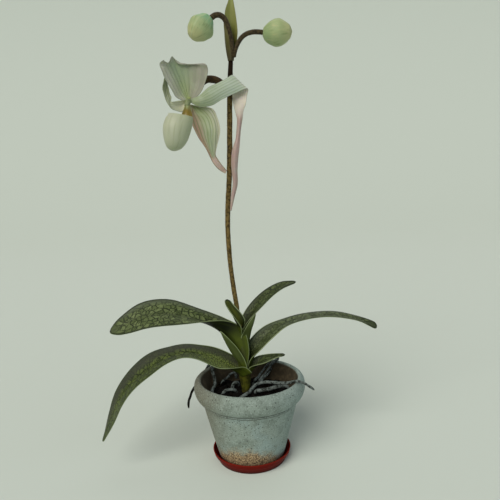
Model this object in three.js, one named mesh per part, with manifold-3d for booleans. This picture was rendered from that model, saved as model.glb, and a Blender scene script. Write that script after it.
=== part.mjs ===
// A slipper orchid in flower, growing in bark mix in a clay pot that stands on a plastic saucer.
// Millimetres, +Z up. The origin is the centre of the saucer's underside. The plant is seen from -Y.
import * as THREE from 'three';
import { mergeVertices } from 'three/addons/utils/BufferGeometryUtils.js';
import Module from 'manifold-3d';

const wasm = await Module();
wasm.setup();

// Gap that is kept between pieces that touch, and the fineness of turned pieces
const CLEAR = 0.3;
const TURNED_SIDES = 36;

// Saucer: a flat dish whose lip stands a little proud of its waist
const SAUCER = {
  footRadius: 39.2,
  waistRadius: 41.6,
  waistHeight: 6.6,
  lipRadius: 45,
  height: 13,
  wall: 1.7,
  floor: 2.4,
};

// Pot: a straight taper under a thin bead and a thick sloping collar, with a drain hole in its floor
const POT = {
  foot: SAUCER.floor + CLEAR,
  footRadius: 37.5,
  neckRadius: 54,
  beadRadius: 56,
  neckHeight: 73,
  collarRadius: 59,
  bellyRadius: 63.5,
  bellyLow: 82,
  bellyHigh: 91,
  rimRadius: 59.4,
  height: 97,
  mouthRadius: 55,
  mouthHeight: 94.6,
  innerFootRadius: 33,
  innerFoot: 9,
  drainRadius: 6,
};

// Bark mix: its level, and the chips whose tilted tops make its surface
const MIX = {
  level: 77,
  fall: 2.5,
  chips: 100,
  chipRise: 3.2,
  chipTilt: 0.28,
  rings: 9,
  sides: 28,
  seed: 11,
};

// Crown: the upright shoot that all the leaves clasp
const CROWN = {
  path: [[-4.4, 5, 64], [-4.5, 5, 78], [-4.9, 5, 92], [-5.4, 5, 108], [-6.4, 5.3, 128], [-8.2, 6, 150]],
  radius: [4.2, 5, 7, 6.4, 4.4, 3],
  sides: 12,
  steps: 14,
};

// Leaves: the rib from the crown to the tip, then values spread evenly along it.
// half is half the width, roll lowers the front edge and fold lifts both edges.
// blunt is the length over which the tip is rounded.
// side is -1 for a leaf that leans to the left and 1 for one that leans to the right.
const LEAVES = [
  {
    name: 'leaf_lower_left',
    side: -1,
    rib: [
      [-9.8, 2, 96], [-11.4, 2, 99], [-17.8, 1.6, 104.2], [-31, 0, 114.2], [-49, -5, 124.2],
      [-70, -9, 129.8], [-90.8, -14, 126.4], [-109.6, -18, 117.4], [-126.2, -21, 104.6],
      [-141, -23.5, 86.4], [-152, -25, 64.6], [-164.4, -27, 38.6],
    ],
    half: [18, 15.4, 14.8, 14.4, 17.2, 20.8, 19.5, 17.6, 14.6, 10.2, 4],
    roll: [-6, 24, 17, 13, 22, 26, 26, 26],
    fold: [78, 24, 16, 12, 12, 12, 10, 6],
    blunt: 4,
    rows: 20,
    columns: 6,
  },
  {
    name: 'leaf_short_right',
    side: 1,
    rib: [[1.5, 3, 99], [4, 3, 103.4], [10, 2, 109], [20, 1, 114.6], [30, 0, 118.6], [41.5, 0, 120.4]],
    half: [9, 10, 9.4, 7.2, 4.4, 2.4],
    roll: [0, 14, 18, 14],
    fold: [80, 40, 20, 10],
    blunt: 3,
    rows: 9,
    columns: 4,
  },
  {
    name: 'leaf_inner_left',
    side: -1,
    rib: [
      [-4.4, 0, 102], [-8.6, -0.4, 109], [-14.6, -1, 119], [-20.6, -1, 130], [-26.4, -2, 141.5],
      [-30.5, -2, 151.5],
    ],
    half: [7.5, 9.6, 10.2, 9.4, 7, 3],
    roll: [-8, -12, -16],
    fold: [74, 68, 64, 60],
    blunt: 4,
    rows: 9,
    columns: 4,
  },
  {
    name: 'leaf_upper_left',
    side: -1,
    rib: [
      [-11, 6, 104], [-12.5, 6, 114], [-16.5, 6, 127], [-24, 6, 140], [-34, 6, 151], [-46, 5, 159.2],
      [-61, 3, 166], [-78, 1, 171.5], [-95, -1, 174], [-114, -4, 172.4], [-132, -7, 165.8],
      [-152.6, -9, 157.2],
    ],
    half: [12, 18.5, 23.2, 18.2, 16, 17, 19, 19.2, 17.4, 13, 7.2],
    roll: [0, -10, -14, 6, 22, 36, 42, 44, 44],
    fold: [84, 80, 74, 38, 14, 8, 8, 8, 6],
    blunt: 12,
    rows: 20,
    columns: 6,
  },
  {
    name: 'leaf_long_right',
    side: 1,
    rib: [
      [0.8, 6, 104], [2.4, 7, 110.4], [5.8, 9, 119], [12.6, 11, 129.6], [25.4, 13, 141.8], [43.6, 15, 152],
      [64, 17, 158], [85, 19, 159.8], [106, 21, 158], [127, 22, 153], [141, 23, 147.4], [152.4, 24, 142],
    ],
    half: [7, 12.4, 12.6, 11.4, 10, 9, 9.2, 9.2, 8, 6.8, 5],
    roll: [0, 36, 32, 14, 8, 9, 8, 14, 34],
    fold: [60, 30, 16, 12, 12, 12, 10],
    blunt: 5,
    rows: 17,
    columns: 6,
  },
  {
    name: 'leaf_inner_right',
    side: 1,
    rib: [[-1, 8, 128], [1.2, 7.4, 136], [4, 7, 146], [6.8, 6, 157], [9.6, 5, 168]],
    half: [5, 12, 11, 7.6, 3],
    roll: [0, 0, 0],
    fold: [80, 70, 60],
    blunt: 4,
    rows: 9,
    columns: 4,
  },
  {
    name: 'leaf_young',
    side: -1,
    rib: [[-8.4, 5.6, 149.4], [-9.8, 2.6, 155], [-12.8, -0.4, 165], [-17.6, -2, 176.4], [-23, -2.6, 187.6]],
    half: [7, 9.8, 8.4, 5.8, 4.2],
    roll: [20, 36, 46],
    fold: [74, 48, 30],
    blunt: 6,
    rows: 9,
    columns: 4,
  },
  {
    name: 'leaf_upper_right',
    side: 1,
    rib: [
      [-3, 9, 132], [-1.4, 12, 142], [2.4, 15, 154.6], [9.2, 18, 167.4], [18.2, 21, 178.8], [29, 24, 188],
      [42, 27, 194.8], [58.6, 29, 198.4],
    ],
    half: [8, 12, 12.4, 11.2, 9.8, 8, 5.8, 2.4],
    roll: [0, 20, 30, 32, 28],
    fold: [75, 45, 22, 12, 8],
    blunt: 4,
    rows: 14,
    columns: 6,
  },
];
const LEAF = { thick: 1.5, margin: 0.9, keelSoft: [7, 3.2, 2.6], tipRows: [0.45, 0.12, 0], tipLeast: 0.14 };

// Flower stem, and the two bracts that sheathe its end
const STEM = {
  path: [
    [-8.3, 6.1, 150.4], [-10.4, 6, 170], [-12.2, 5.8, 186], [-14, 5.6, 201], [-16, 5.4, 222], [-17.3, 5, 250],
    [-17.3, 5, 272], [-15.9, 5, 295], [-13.7, 5, 318], [-12, 5, 345], [-10.8, 5, 373], [-9.4, 5, 404],
    [-7.8, 5, 430], [-6.2, 4.8, 450], [-5.4, 4.6, 466],
  ],
  radius: [2.7, 2.6, 2.6, 2.8, 2.9, 2.9, 2.8, 2],
  sides: 8,
  steps: 22,
};
const BRACTS = [
  {
    name: 'bract_left',
    rows: [
      [[-9.6, 5, 444], [-6.6, 0.8, 443.6], [-3.4, 5, 444]],
      [[-11.2, 5, 455], [-7, -0.2, 455], [-2.8, 4, 455]],
      [[-12, 4, 466], [-9.6, -1.6, 465], [-4.4, -1.6, 465]],
      [[-12, 1.6, 476], [-11.6, -1.8, 475.6], [-9.4, -3.4, 474.6]],
      [[-12.2, -0.2, 482], [-12, -1.4, 482], [-11.6, -2.4, 481.8]],
    ],
    steps: 9,
  },
  {
    name: 'bract_tip',
    rows: [
      [[-8.6, 6.4, 450], [-5.6, 8.2, 449.6], [-2.6, 5.4, 450]],
      [[-9.6, 5, 461], [-4.6, 8.2, 461], [0, 4, 461]],
      [[-10.6, 3.4, 472], [-4.8, 7.2, 472], [1.7, 3.2, 472]],
      [[-11.7, 2.8, 483], [-5.2, 6, 483], [1.1, 3, 484]],
      [[-10.2, 3, 495], [-5.2, 5, 495.4], [-0.3, 3, 496]],
      [[-6.4, 3.4, 505], [-4, 4.2, 505.4], [-1.8, 3.4, 505.6]],
      [[-4.4, 3.6, 516], [-3.7, 3.8, 516.4], [-3, 3.6, 516.2]],
    ],
    steps: 11,
  },
];
const BRACT = { thick: 1, columns: 6 };

// Buds: each on its own stalk, swollen behind the middle and seamed where three sepals meet
const BUDS = [
  {
    name: 'bud_left',
    centre: [-36, -6, 475.6],
    axis: [-0.62, -0.22, -0.75],
    length: 30.2,
    width: 26,
    stalk: [
      [-5.4, 3.4, 446], [-4.9, 1.2, 455], [-5.4, -0.4, 464], [-7.2, -1.4, 473], [-9.2, -2, 480.4],
      [-12.4, -2.4, 485.8], [-16.6, -3, 488.2], [-21, -3.4, 487.8], [-25.8, -3.8, 484.6],
    ],
    stalkRadius: [2, 2.5, 2.6, 2.8, 3],
  },
  {
    name: 'bud_right',
    centre: [43, 0, 469.4],
    axis: [0.98, -0.16, 0.02],
    length: 31.2,
    width: 27.2,
    stalk: [
      [-3.4, 3.2, 447], [-1.6, 2.4, 454], [1.4, 1.6, 460.4], [6, 0.8, 466.4], [12, 0.4, 470], [19, 0.2, 471.2],
      [27, 0.2, 470.6], [29.6, 0.1, 470.2],
    ],
    stalkRadius: [2.3, 2.4, 2.5, 2.6],
  },
];
const BUD = { sides: 18, rings: 10, seams: 3, seamDepth: 0.05, seamWidth: 0.2, tipPull: 0.06, slope: 0.4 };

// Flower: everything here is measured from its heart, where the segments meet
const HEART = [-51, -25, 400];
const FLOWER_STALK = {
  path: [
    [41.4, 29, 8], [38, 27, 16.5], [33, 24.5, 21.5], [26, 23, 24.4], [18, 22.4, 24.6], [11, 21.4, 20],
    [5.8, 18, 12], [2, 12, 4.8], [0, 5, 1.4],
  ],
  radius: [2.6, 3, 3.7, 3.9, 3.8, 3.6, 3.2],
  sides: 10,
  steps: 18,
};
const COLUMN = {
  path: [[0, 3.9, 0.4], [-0.4, 0, -1.6], [-1, -5, -6]],
  radius: [3.2, 3, 2.2],
  shield: [
    [[-2.2, -1, -2.4], [-0.4, -1.8, -1.8], [1.4, -1, -2.4]],
    [[-4, -5.6, -9], [-0.4, -7.6, -8.6], [3, -5.6, -9]],
    [[-5.8, -9.6, -14.4], [-0.6, -11.4, -14.4], [4.6, -9.6, -14.6]],
    [[-6.2, -12, -17.6], [-0.8, -13, -18.8], [4.8, -12, -18]],
  ],
  thick: 1.5,
};
// Pouch rings from the toe up to the mouth: centre x, y, z and half sizes across and in depth
const POUCH = {
  rings: [
    [-15.4, -18.4, -50, 1.6, 1.6],
    [-14.8, -18.6, -48.6, 4.6, 5],
    [-13.6, -19, -45.6, 7.8, 8.4],
    [-12.2, -19.4, -40, 10.8, 11.6],
    [-10.9, -19.6, -33.4, 12.8, 13.4],
    [-9.4, -19, -27, 13.6, 13.8],
    [-7.6, -17.6, -21, 13.2, 13],
    [-6.6, -16.4, -18.2, 12.2, 12],
    [-6.2, -15.6, -16.2, 11.8, 11],
  ],
  tilt: 11,
  wall: 1.2,
  sides: 18,
  claw: [
    [[-2.4, 1.6, -3.4], [0, 1.4, -4.4], [2.4, 1.6, -3.4]],
    [[-3, -1.4, -9], [0.4, -1.6, -9.6], [3.6, -1.6, -9]],
    [[-4.4, -4, -15.6], [-0.4, -3.8, -16], [3.4, -5, -15.6]],
    [[-5, -4.4, -20], [-1, -3.6, -20.5], [3, -5.4, -20]],
  ],
};
// Each row runs across the segment, from one edge by way of its middle to the other edge
const SEGMENTS = [
  {
    name: 'petal_right',
    rows: [
      [[0.9, 3, 1.8], [1.6, 4.4, 0.4], [2, 3, -1]],
      [[11.1, 5, 5.8], [11.6, 2, -0.1], [11.6, 4, -5.8]],
      [[20.4, 9, 14], [22.2, 5, 3.9], [23.8, 7, -4.3]],
      [[29.5, 14, 19.1], [32.5, 10, 10.3], [34.6, 11, 2.1]],
      [[38.9, 18, 24], [42.8, 15, 16], [46.6, 16, 7.8]],
      [[46.3, 21, 27.9], [53.3, 20, 20.6], [60.4, 19, 13.1]],
      [[45.5, 25.4, 17.7], [52.7, 25, 12], [60.1, 23, 6.3]],
      [[44.6, 25, 4.3], [51.5, 23, 1.6], [58.5, 22, -1.8]],
      [[47.3, 23, -10.6], [51.5, 22, -11.2], [55.6, 23, -9.8]],
      [[48.5, 23, -19.9], [51.2, 20.8, -20.2], [53.8, 23, -19.1]],
      [[46.8, 23, -35.5], [48.9, 20.8, -35.7], [51.5, 23, -35.6]],
      [[42, 21, -49], [45.8, 18.6, -49.3], [49.5, 21, -49.3]],
      [[40.7, 21, -68], [43.9, 18.6, -68.1], [47.4, 21, -68.2]],
      [[41, 21.4, -85], [43.7, 19.6, -85.1], [46.2, 22, -85.2]],
      [[38.7, 22, -99.9], [40.7, 20.6, -100], [42.7, 22, -100.1]],
      [[37.1, 22, -112.9], [37.7, 21.6, -113.4], [38.4, 22, -114]],
    ],
    steps: 30,
    columns: 4,
  },
  {
    name: 'petal_left',
    rows: [
      [[-1, 2, 1.3], [-1.2, 3, 0], [-1.6, 1, -2.3]],
      [[-8.2, -2, 0.4], [-7.1, 0, -4.8], [-5.5, -4, -10.7]],
      [[-13.3, -5, -0.8], [-13.1, -4, -5.2], [-12.1, -7, -9.9]],
      [[-16.4, -5, -0.6], [-17.2, -6, -3.6], [-17.2, -10, -6.6]],
      [[-16.4, -1, 4], [-18.8, -5, 1.4], [-20.4, -8, -1]],
      [[-18.2, 1, 9.6], [-20.8, -2, 8.2], [-23.2, -7, 7.5]],
      [[-19.6, 3, 15.9], [-21.7, 0, 15.4], [-23.8, -5, 14.6]],
      [[-20.2, 6, 22.4], [-21.2, 3, 22.8], [-22.8, 0, 22.3]],
      [[-19.1, 11, 29.2], [-19.7, 9.6, 29.8], [-20.9, 8, 29.9]],
    ],
    steps: 18,
    columns: 4,
  },
  {
    name: 'lower_sepals',
    rows: [
      [[0.2, 7, -2], [4.1, 8, -2.9], [8.3, 7, -4.7]],
      [[1, 5, -11.2], [10, 8, -9.7], [23.4, 11, -6.7]],
      [[1.6, 5, -20.3], [16.3, 9, -17.3], [28.5, 13, -16.3]],
      [[4.6, 6, -28.3], [18.8, 10, -26.9], [30.2, 15, -27.3]],
      [[8.6, 8, -37.4], [19.1, 12, -37], [28.5, 17, -37.4]],
      [[13.9, 12, -45.5], [20.1, 15, -46.5], [26.1, 19, -45.4]],
      [[18.2, 17, -54.8], [21.1, 19, -54.1], [23.7, 21, -53.1]],
      [[21.5, 23, -63], [24.1, 25, -61.9], [26.9, 26, -58.8]],
      [[26.7, 30, -69.1], [28.9, 31, -67.3], [31.1, 32, -65.2]],
      [[33.3, 36, -73.5], [34, 36, -71.7], [34.6, 36, -70.1]],
    ],
    steps: 18,
    columns: 6,
  },
  {
    name: 'dorsal_sepal',
    rows: [
      [[-2.5, 4, 0.2], [-1.4, 5, 1], [-0.2, 5.6, 1.6], [1.2, 5.2, 2], [2.6, 4.6, 2.2]],
      [[-11.1, -5, 3.5], [-7.8, 4, 8], [-4, 8, 13.5], [2.4, 9.6, 12.4], [11.5, 6, 6.6]],
      [[-16.7, -10, 13.4], [-12.6, 1, 19.4], [-7.2, 9, 23.8], [3.6, 11, 24], [17.7, 8, 18.2]],
      [[-22, -13, 24.9], [-17.4, -2, 30.6], [-10.4, 7, 33.3], [3, 10.4, 34], [20.9, 9, 28.1]],
      [[-24.1, -13, 33.6], [-19, -4, 35], [-12.1, 5, 38.9], [0.6, 9, 37.6], [20.5, 9, 35.5]],
      [[-20.8, -12, 38], [-16.8, -4, 37], [-13.4, 2, 44.3], [-7, 5, 37], [16.5, 9, 38.3]],
    ],
    steps: 10,
    columns: 8,
  },
];
const SEGMENT_THICK = 0.8;

// Roots: grey cords that start in the mix, cross its top and end bare or go back in
const ROOTS = [
  {
    name: 'root_over_right_rim',
    radius: [1.9, 2, 1.9, 1.7, 1.2],
    path: [
      [-16, -21, 74], [-10, -17, 79], [-2, -12, 81.4], [5, 1, 83.4], [11, 6, 85], [19, 5, 86.6],
      [29, -6, 90], [43, -20, 95], [50, -26, 99], [57, -29.4, 99.4], [64.4, -30, 95], [71, -28, 89],
    ],
  },
  {
    name: 'root_right_front',
    radius: [2, 2.2, 2.3, 2.1, 1.8],
    path: [
      [4.6, -7.6, 73], [5.7, -5.4, 76], [7.2, -2.8, 79.4], [12.7, -5.4, 81.4], [20.7, -5.7, 82.4],
      [28.9, -3.2, 83.4], [35.8, -1.9, 84], [42.7, -2.3, 83.6], [46.4, -2.6, 80],
    ],
  },
  {
    name: 'root_back_right',
    radius: [1.5, 1.5, 1.4, 1.2],
    path: [
      [3, 19, 75], [5.7, 22.2, 81], [10.1, 28.3, 83.6], [15.3, 36.7, 87], [20.6, 43, 91], [25.1, 45.7, 96],
    ],
  },
  {
    name: 'root_back_middle',
    radius: [1.6, 1.6, 1.4, 1.6, 2, 1.8],
    path: [
      [9, 21.6, 75], [11.7, 24.7, 81], [16.2, 30.8, 83.6], [21.5, 38.4, 87], [25.4, 41.4, 91.4],
      [28.6, 40.6, 96], [33, 40.6, 99.4], [36.8, 41.7, 102],
    ],
  },
  {
    name: 'root_back_outer',
    radius: [1.3, 1.4, 1.3, 1.1],
    path: [
      [12.4, 22.6, 75], [14.7, 25.9, 80.6], [19.9, 33.2, 82.8], [24.6, 40, 85.4], [27.4, 43, 88],
    ],
  },
  {
    name: 'root_over_left_rim',
    radius: [1.9, 1.9, 1.9, 1.8, 1.7, 1.5, 1.2],
    path: [
      [-43, -1, 74], [-43.6, 6.9, 78.4], [-41.6, 13.7, 80.8], [-41.2, 20.7, 82.6], [-42.6, 24.5, 87.5],
      [-44, 26.6, 92.5], [-44.2, 30, 97.4], [-45, 36.4, 99.2], [-48.6, 39.8, 97], [-52.6, 39.4, 91],
      [-57, 36.6, 84], [-61.4, 31, 79], [-66, 24, 75.6], [-69, 18, 72.4], [-70.5, 14, 68.5],
      [-72.3, 12, 63.9], [-72.8, 11, 59.4], [-72.5, 11, 55],
    ],
  },
  {
    name: 'root_back_left',
    radius: [1.3, 1.4, 1.2],
    path: [
      [-16.4, 44, 76], [-18.4, 44.8, 84], [-22.9, 42.5, 83.4], [-26.4, 35.8, 82], [-32.2, 28.8, 80.2],
      [-35, 25, 75],
    ],
  },
  {
    name: 'root_stub',
    radius: [2, 2.1, 1.8],
    path: [
      [-21.4, 9.6, 75], [-20.4, 11.2, 79], [-19, 13.6, 81.5], [-16.6, 16.4, 82.6], [-14.2, 19.6, 80.6],
      [-13, 21.4, 76],
    ],
  },
  {
    name: 'root_front_left',
    radius: [1.7, 1.8, 1.7],
    path: [
      [-33, -3.6, 74], [-31.6, -2.7, 77.4], [-28.5, -1.6, 80], [-23.9, -0.1, 81], [-20.5, 0.6, 80.8],
      [-17.2, 2.8, 78.8], [-15, 4.6, 74.6],
    ],
  },
];
const ROOT_SIDES = 7;

// Finishes: colour, roughness and metalness of each slot
const FINISH = {
  saucer_plastic: [0x8e2f1e, 0.45],
  weathered_clay: [0x9fb0a6, 0.9],
  bark: [0x17130f, 0.95],
  crown_green: [0x4a5016, 0.55],
  leaf_green: [0x66794a, 0.45],
  stem_brown: [0x4a3a20, 0.6],
  bract_green: [0x5d6a34, 0.5],
  bud_green: [0xa9bd9a, 0.55],
  sepal_pale: [0xa9b59a, 0.55],
  petal_pale: [0xb4bfa6, 0.55],
  pouch_cream: [0xb3bba0, 0.4],
  staminode_olive: [0x7c7a2e, 0.45],
  root_grey: [0x7d7a70, 0.85],
};

// Repeatable random numbers from 0 to 1
function randomFrom(seed) {
  let state = seed;
  return () => {
    state = (state * 1664525 + 1013904223) % 4294967296;
    return state / 4294967296;
  };
}

// Smooth value at t, from 0 to 1, through evenly spread numbers
function along(list, t) {
  const place = THREE.MathUtils.clamp(t, 0, 1) * (list.length - 1);
  const start = Math.min(Math.floor(place), list.length - 2);
  const pick = (k) => list[THREE.MathUtils.clamp(k, 0, list.length - 1)];
  const f = place - start;
  const [a, b, c, d] = [pick(start - 1), pick(start), pick(start + 1), pick(start + 2)];
  const slope = (c - a) * f;
  const bend = (2 * a - 5 * b + 4 * c - d) * f * f;
  const twist = (3 * b - a - 3 * c + d) * f * f * f;
  return b + (slope + bend + twist) / 2;
}

// Smooth point at t through evenly spread points
function alongPoints(list, t) {
  return new THREE.Vector3(
    along(list.map((p) => p[0]), t),
    along(list.map((p) => p[1]), t),
    along(list.map((p) => p[2]), t),
  );
}

const vectors = (list) => list.map((p) => new THREE.Vector3(...p));

// Closed mesh from points and triangles, turned so that its faces point out
function closedGeometry(points, triangles) {
  const corner = new THREE.Vector3();
  let volume = 0;
  for (const [a, b, c] of triangles) {
    volume += corner.copy(points[b]).cross(points[c]).dot(points[a]);
  }
  const facing = volume < 0 ? triangles.map(([a, b, c]) => [a, c, b]) : triangles;
  const geometry = new THREE.BufferGeometry();
  geometry.setAttribute('position', new THREE.Float32BufferAttribute(points.flatMap((p) => p.toArray()), 3));
  geometry.setIndex(facing.flat());
  return geometry;
}

// Solid for joining and cutting
function solidOf(geometry) {
  const bare = geometry.clone();
  bare.deleteAttribute('normal');
  bare.deleteAttribute('uv');
  const merged = mergeVertices(bare, 1e-4);
  return new wasm.Manifold(new wasm.Mesh({
    numProp: 3,
    vertProperties: new Float32Array(merged.attributes.position.array),
    triVerts: new Uint32Array(merged.index.array),
  }));
}

function geometryOf(solid) {
  const mesh = solid.getMesh();
  const geometry = new THREE.BufferGeometry();
  geometry.setAttribute('position', new THREE.BufferAttribute(new Float32Array(mesh.vertProperties), 3));
  geometry.setIndex(new THREE.BufferAttribute(new Uint32Array(mesh.triVerts), 1));
  geometry.computeVertexNormals();
  return geometry;
}

// Grid of points made a closed sheet: both faces are split alike and a rim joins them.
// thick gives the thickness at a place across, from -1 to 1, and grow widens the sheet all round.
function sheetSolid(grid, thick, grow = 0) {
  const rows = grid.length;
  const columns = grid[0].length;
  const spread = grid.map((row, i) => row.map((point, j) => {
    const moved = point.clone();
    if (i === 0 || i === rows - 1) {
      moved.add(point.clone().sub(grid[i === 0 ? 1 : rows - 2][j]).setLength(grow));
    }
    if (j === 0 || j === columns - 1) {
      moved.add(point.clone().sub(row[j === 0 ? 1 : columns - 2]).setLength(grow));
    }
    return moved;
  }));
  const faces = [[], []];
  for (let i = 0; i < rows; i += 1) {
    for (let j = 0; j < columns; j += 1) {
      const down = spread[Math.min(i + 1, rows - 1)][j].clone().sub(spread[Math.max(i - 1, 0)][j]);
      const across = spread[i][Math.min(j + 1, columns - 1)].clone().sub(spread[i][Math.max(j - 1, 0)]);
      const place = (2 * j) / (columns - 1) - 1;
      const lift = down.cross(across).setLength(thick(place) / 2 + grow);
      faces[0].push(spread[i][j].clone().add(lift));
      faces[1].push(spread[i][j].clone().sub(lift));
    }
  }
  const points = [...faces[0], ...faces[1]];
  const back = rows * columns;
  const triangles = [];
  for (let i = 0; i + 1 < rows; i += 1) {
    for (let j = 0; j + 1 < columns; j += 1) {
      const a = i * columns + j;
      const [b, c, d] = [a + 1, a + columns + 1, a + columns];
      triangles.push([a, b, c], [a, c, d], [back + a, back + c, back + b], [back + a, back + d, back + c]);
    }
  }
  const wall = (p, q) => triangles.push([q, p, back + p], [q, back + p, back + q]);
  for (let j = 0; j + 1 < columns; j += 1) {
    wall(j, j + 1);
    wall((rows - 1) * columns + j + 1, (rows - 1) * columns + j);
  }
  for (let i = 0; i + 1 < rows; i += 1) {
    wall((i + 1) * columns, i * columns);
    wall(i * columns + columns - 1, (i + 1) * columns + columns - 1);
  }
  return solidOf(closedGeometry(points, triangles));
}

// Sheet through rows of points that each run across it
function rowsSheet({ rows, steps, columns }, thick, grow = 0) {
  const lines = rows[0].map((_, k) => rows.map((row) => row[k]));
  const grid = [];
  for (let i = 0; i <= steps; i += 1) {
    const row = lines.map((line) => alongPoints(line, i / steps).toArray());
    grid.push(Array.from({ length: columns + 1 }, (_, j) => alongPoints(row, j / columns)));
  }
  return sheetSolid(grid, () => thick, grow);
}

// Points across one half of a leaf: how far out and how far up each lies from the rib
function halfSection(half, fold, soft, count) {
  const section = [[0, 0]];
  const step = half / count;
  for (let k = 0; k < count; k += 1) {
    const reach = (k + 0.5) * step;
    const angle = fold * Math.tanh(reach / soft);
    const [out, up] = section[k];
    section.push([out + step * Math.cos(angle), up + step * Math.sin(angle)]);
  }
  return section;
}

// Places along a leaf where its blade is worked out: evenly at first, then close together over its tip
function leafPlaces(rows, tip) {
  const even = rows - LEAF.tipRows.length;
  const body = Array.from({ length: even + 1 }, (_, i) => ((1 - tip) * i) / even);
  return [...body, ...LEAF.tipRows.map((left) => 1 - left * tip)];
}

// Leaf blade with a folded rib and a rounded tip
function leafSolid(leaf, grow = 0) {
  const rib = new THREE.CatmullRomCurve3(vectors(leaf.rib), false, 'centripetal');
  const tip = leaf.blunt / rib.getLength();
  const perSide = leaf.columns / 2;
  const grid = [];
  for (const t of leafPlaces(leaf.rows, tip)) {
    const left = Math.min((1 - t) / tip, 1);
    const round = Math.max(Math.sqrt(1 - (1 - left) ** 2), LEAF.tipLeast);
    const tangent = rib.getTangentAt(t);
    const front = new THREE.Vector3(0, -1, 0).projectOnPlane(tangent).normalize();
    const up = tangent.clone().cross(front).multiplyScalar(-leaf.side);
    const roll = THREE.MathUtils.degToRad(along(leaf.roll, t));
    const outward = front.clone().multiplyScalar(Math.cos(roll)).addScaledVector(up, -Math.sin(roll));
    const raised = up.clone().multiplyScalar(Math.cos(roll)).addScaledVector(front, Math.sin(roll));
    const fold = THREE.MathUtils.degToRad(along(leaf.fold, t));
    const half = along(leaf.half, t) * round;
    const section = halfSection(half, fold, along(LEAF.keelSoft, t * 2), perSide);
    const keel = rib.getPointAt(t);
    const row = [];
    for (let j = -perSide; j <= perSide; j += 1) {
      const [out, rise] = section[Math.abs(j)];
      row.push(keel.clone().addScaledVector(outward, Math.sign(j) * out).addScaledVector(raised, rise));
    }
    grid.push(row);
  }
  const thick = (place) => THREE.MathUtils.lerp(LEAF.thick, LEAF.margin, Math.abs(place));
  return sheetSolid(grid, thick, grow);
}

// Round rod along a smooth path, with its radius spread along it and flat ends
function rodSolid({ path, radius, sides, steps }, grow = 0) {
  const curve = new THREE.CatmullRomCurve3(vectors(path), false, 'centripetal');
  const frames = curve.computeFrenetFrames(steps, false);
  const points = [];
  const triangles = [];
  for (let i = 0; i <= steps; i += 1) {
    const t = i / steps;
    const centre = curve.getPointAt(t);
    if (i === 0 || i === steps) {
      centre.addScaledVector(frames.tangents[i], i === 0 ? -grow : grow);
    }
    const size = along(radius, t) + grow;
    for (let k = 0; k < sides; k += 1) {
      const turn = (2 * Math.PI * k) / sides;
      const spoke = frames.normals[i].clone().multiplyScalar(Math.cos(turn) * size);
      points.push(spoke.addScaledVector(frames.binormals[i], Math.sin(turn) * size).add(centre));
    }
  }
  for (let i = 0; i < steps; i += 1) {
    for (let k = 0; k < sides; k += 1) {
      const a = i * sides + k;
      const b = i * sides + ((k + 1) % sides);
      triangles.push([a, b, b + sides], [a, b + sides, a + sides]);
    }
  }
  for (let k = 1; k + 1 < sides; k += 1) {
    const last = steps * sides;
    triangles.push([0, k + 1, k], [last, last + k, last + k + 1]);
  }
  return solidOf(closedGeometry(points, triangles));
}

// Turned solid from an outline of radius and height, with its axis on Z
function turnedSolid(outline) {
  const profile = outline.map(([radius, height]) => new THREE.Vector2(radius, height));
  const geometry = new THREE.LatheGeometry(profile, TURNED_SIDES);
  geometry.rotateX(Math.PI / 2);
  geometry.deleteAttribute('normal');
  geometry.deleteAttribute('uv');
  const merged = mergeVertices(geometry, 1e-4);
  const position = merged.attributes.position;
  const pointAt = (_, i) => new THREE.Vector3().fromBufferAttribute(position, i);
  const points = Array.from({ length: position.count }, pointAt);
  const triangles = [];
  for (let i = 0; i < merged.index.count; i += 3) {
    const [a, b, c] = [merged.index.getX(i), merged.index.getX(i + 1), merged.index.getX(i + 2)];
    if (a !== b && b !== c && c !== a) {
      triangles.push([a, b, c]);
    }
  }
  return solidOf(closedGeometry(points, triangles));
}

function saucerSolid() {
  const s = SAUCER;
  return turnedSolid([
    [0, 0],
    [s.footRadius - 1, 0],
    [s.footRadius, 0.8],
    [s.waistRadius, s.waistHeight],
    [s.waistRadius + 1.9, s.waistHeight + 1],
    [s.lipRadius, s.height - 0.8],
    [s.lipRadius - 0.6, s.height],
    [s.lipRadius - s.wall, s.height - 0.4],
    [s.waistRadius - 0.2, s.waistHeight],
    [s.footRadius - 0.6, s.floor],
    [0, s.floor],
  ]);
}

// Radius of the pot's inner wall at a height
function potInside(height) {
  const share = (height - POT.innerFoot) / (POT.mouthHeight - POT.innerFoot);
  return THREE.MathUtils.lerp(POT.innerFootRadius, POT.mouthRadius, share);
}

// Pot outline, with grow as the clearance that is kept round it
function potSolid(grow = 0) {
  const p = POT;
  const outline = [
    [p.drainRadius - grow, p.foot - grow],
    [p.footRadius - 1 + grow, p.foot - grow],
    [p.footRadius + grow, p.foot + 1.2],
    [p.neckRadius + grow, p.neckHeight - 2.4],
    [p.beadRadius + grow, p.neckHeight - 1.8],
    [p.beadRadius + grow, p.neckHeight - 0.4],
    [p.collarRadius - 3 + grow, p.neckHeight],
    [p.collarRadius - 0.6 + grow, p.neckHeight + 1.6],
    [p.collarRadius + 3.2 + grow, p.bellyLow - 1.4],
    [p.bellyRadius + grow, (p.bellyLow + p.bellyHigh) / 2],
    [p.bellyRadius - 0.3 + grow, p.bellyHigh + 2],
    [p.bellyRadius - 1.6 + grow, p.bellyHigh + 5],
    [p.rimRadius + 0.4 + grow, p.height - 0.5 + grow],
    [p.rimRadius - 1.6, p.height + grow],
    [p.mouthRadius + 0.9, p.height - 0.6 + grow],
    [p.mouthRadius - grow, p.mouthHeight],
    [p.innerFootRadius - grow, p.innerFoot + grow],
    [p.drainRadius - grow, p.innerFoot - 1 + grow],
    [p.drainRadius - grow, p.foot - grow],
  ];
  return turnedSolid(outline);
}

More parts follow.
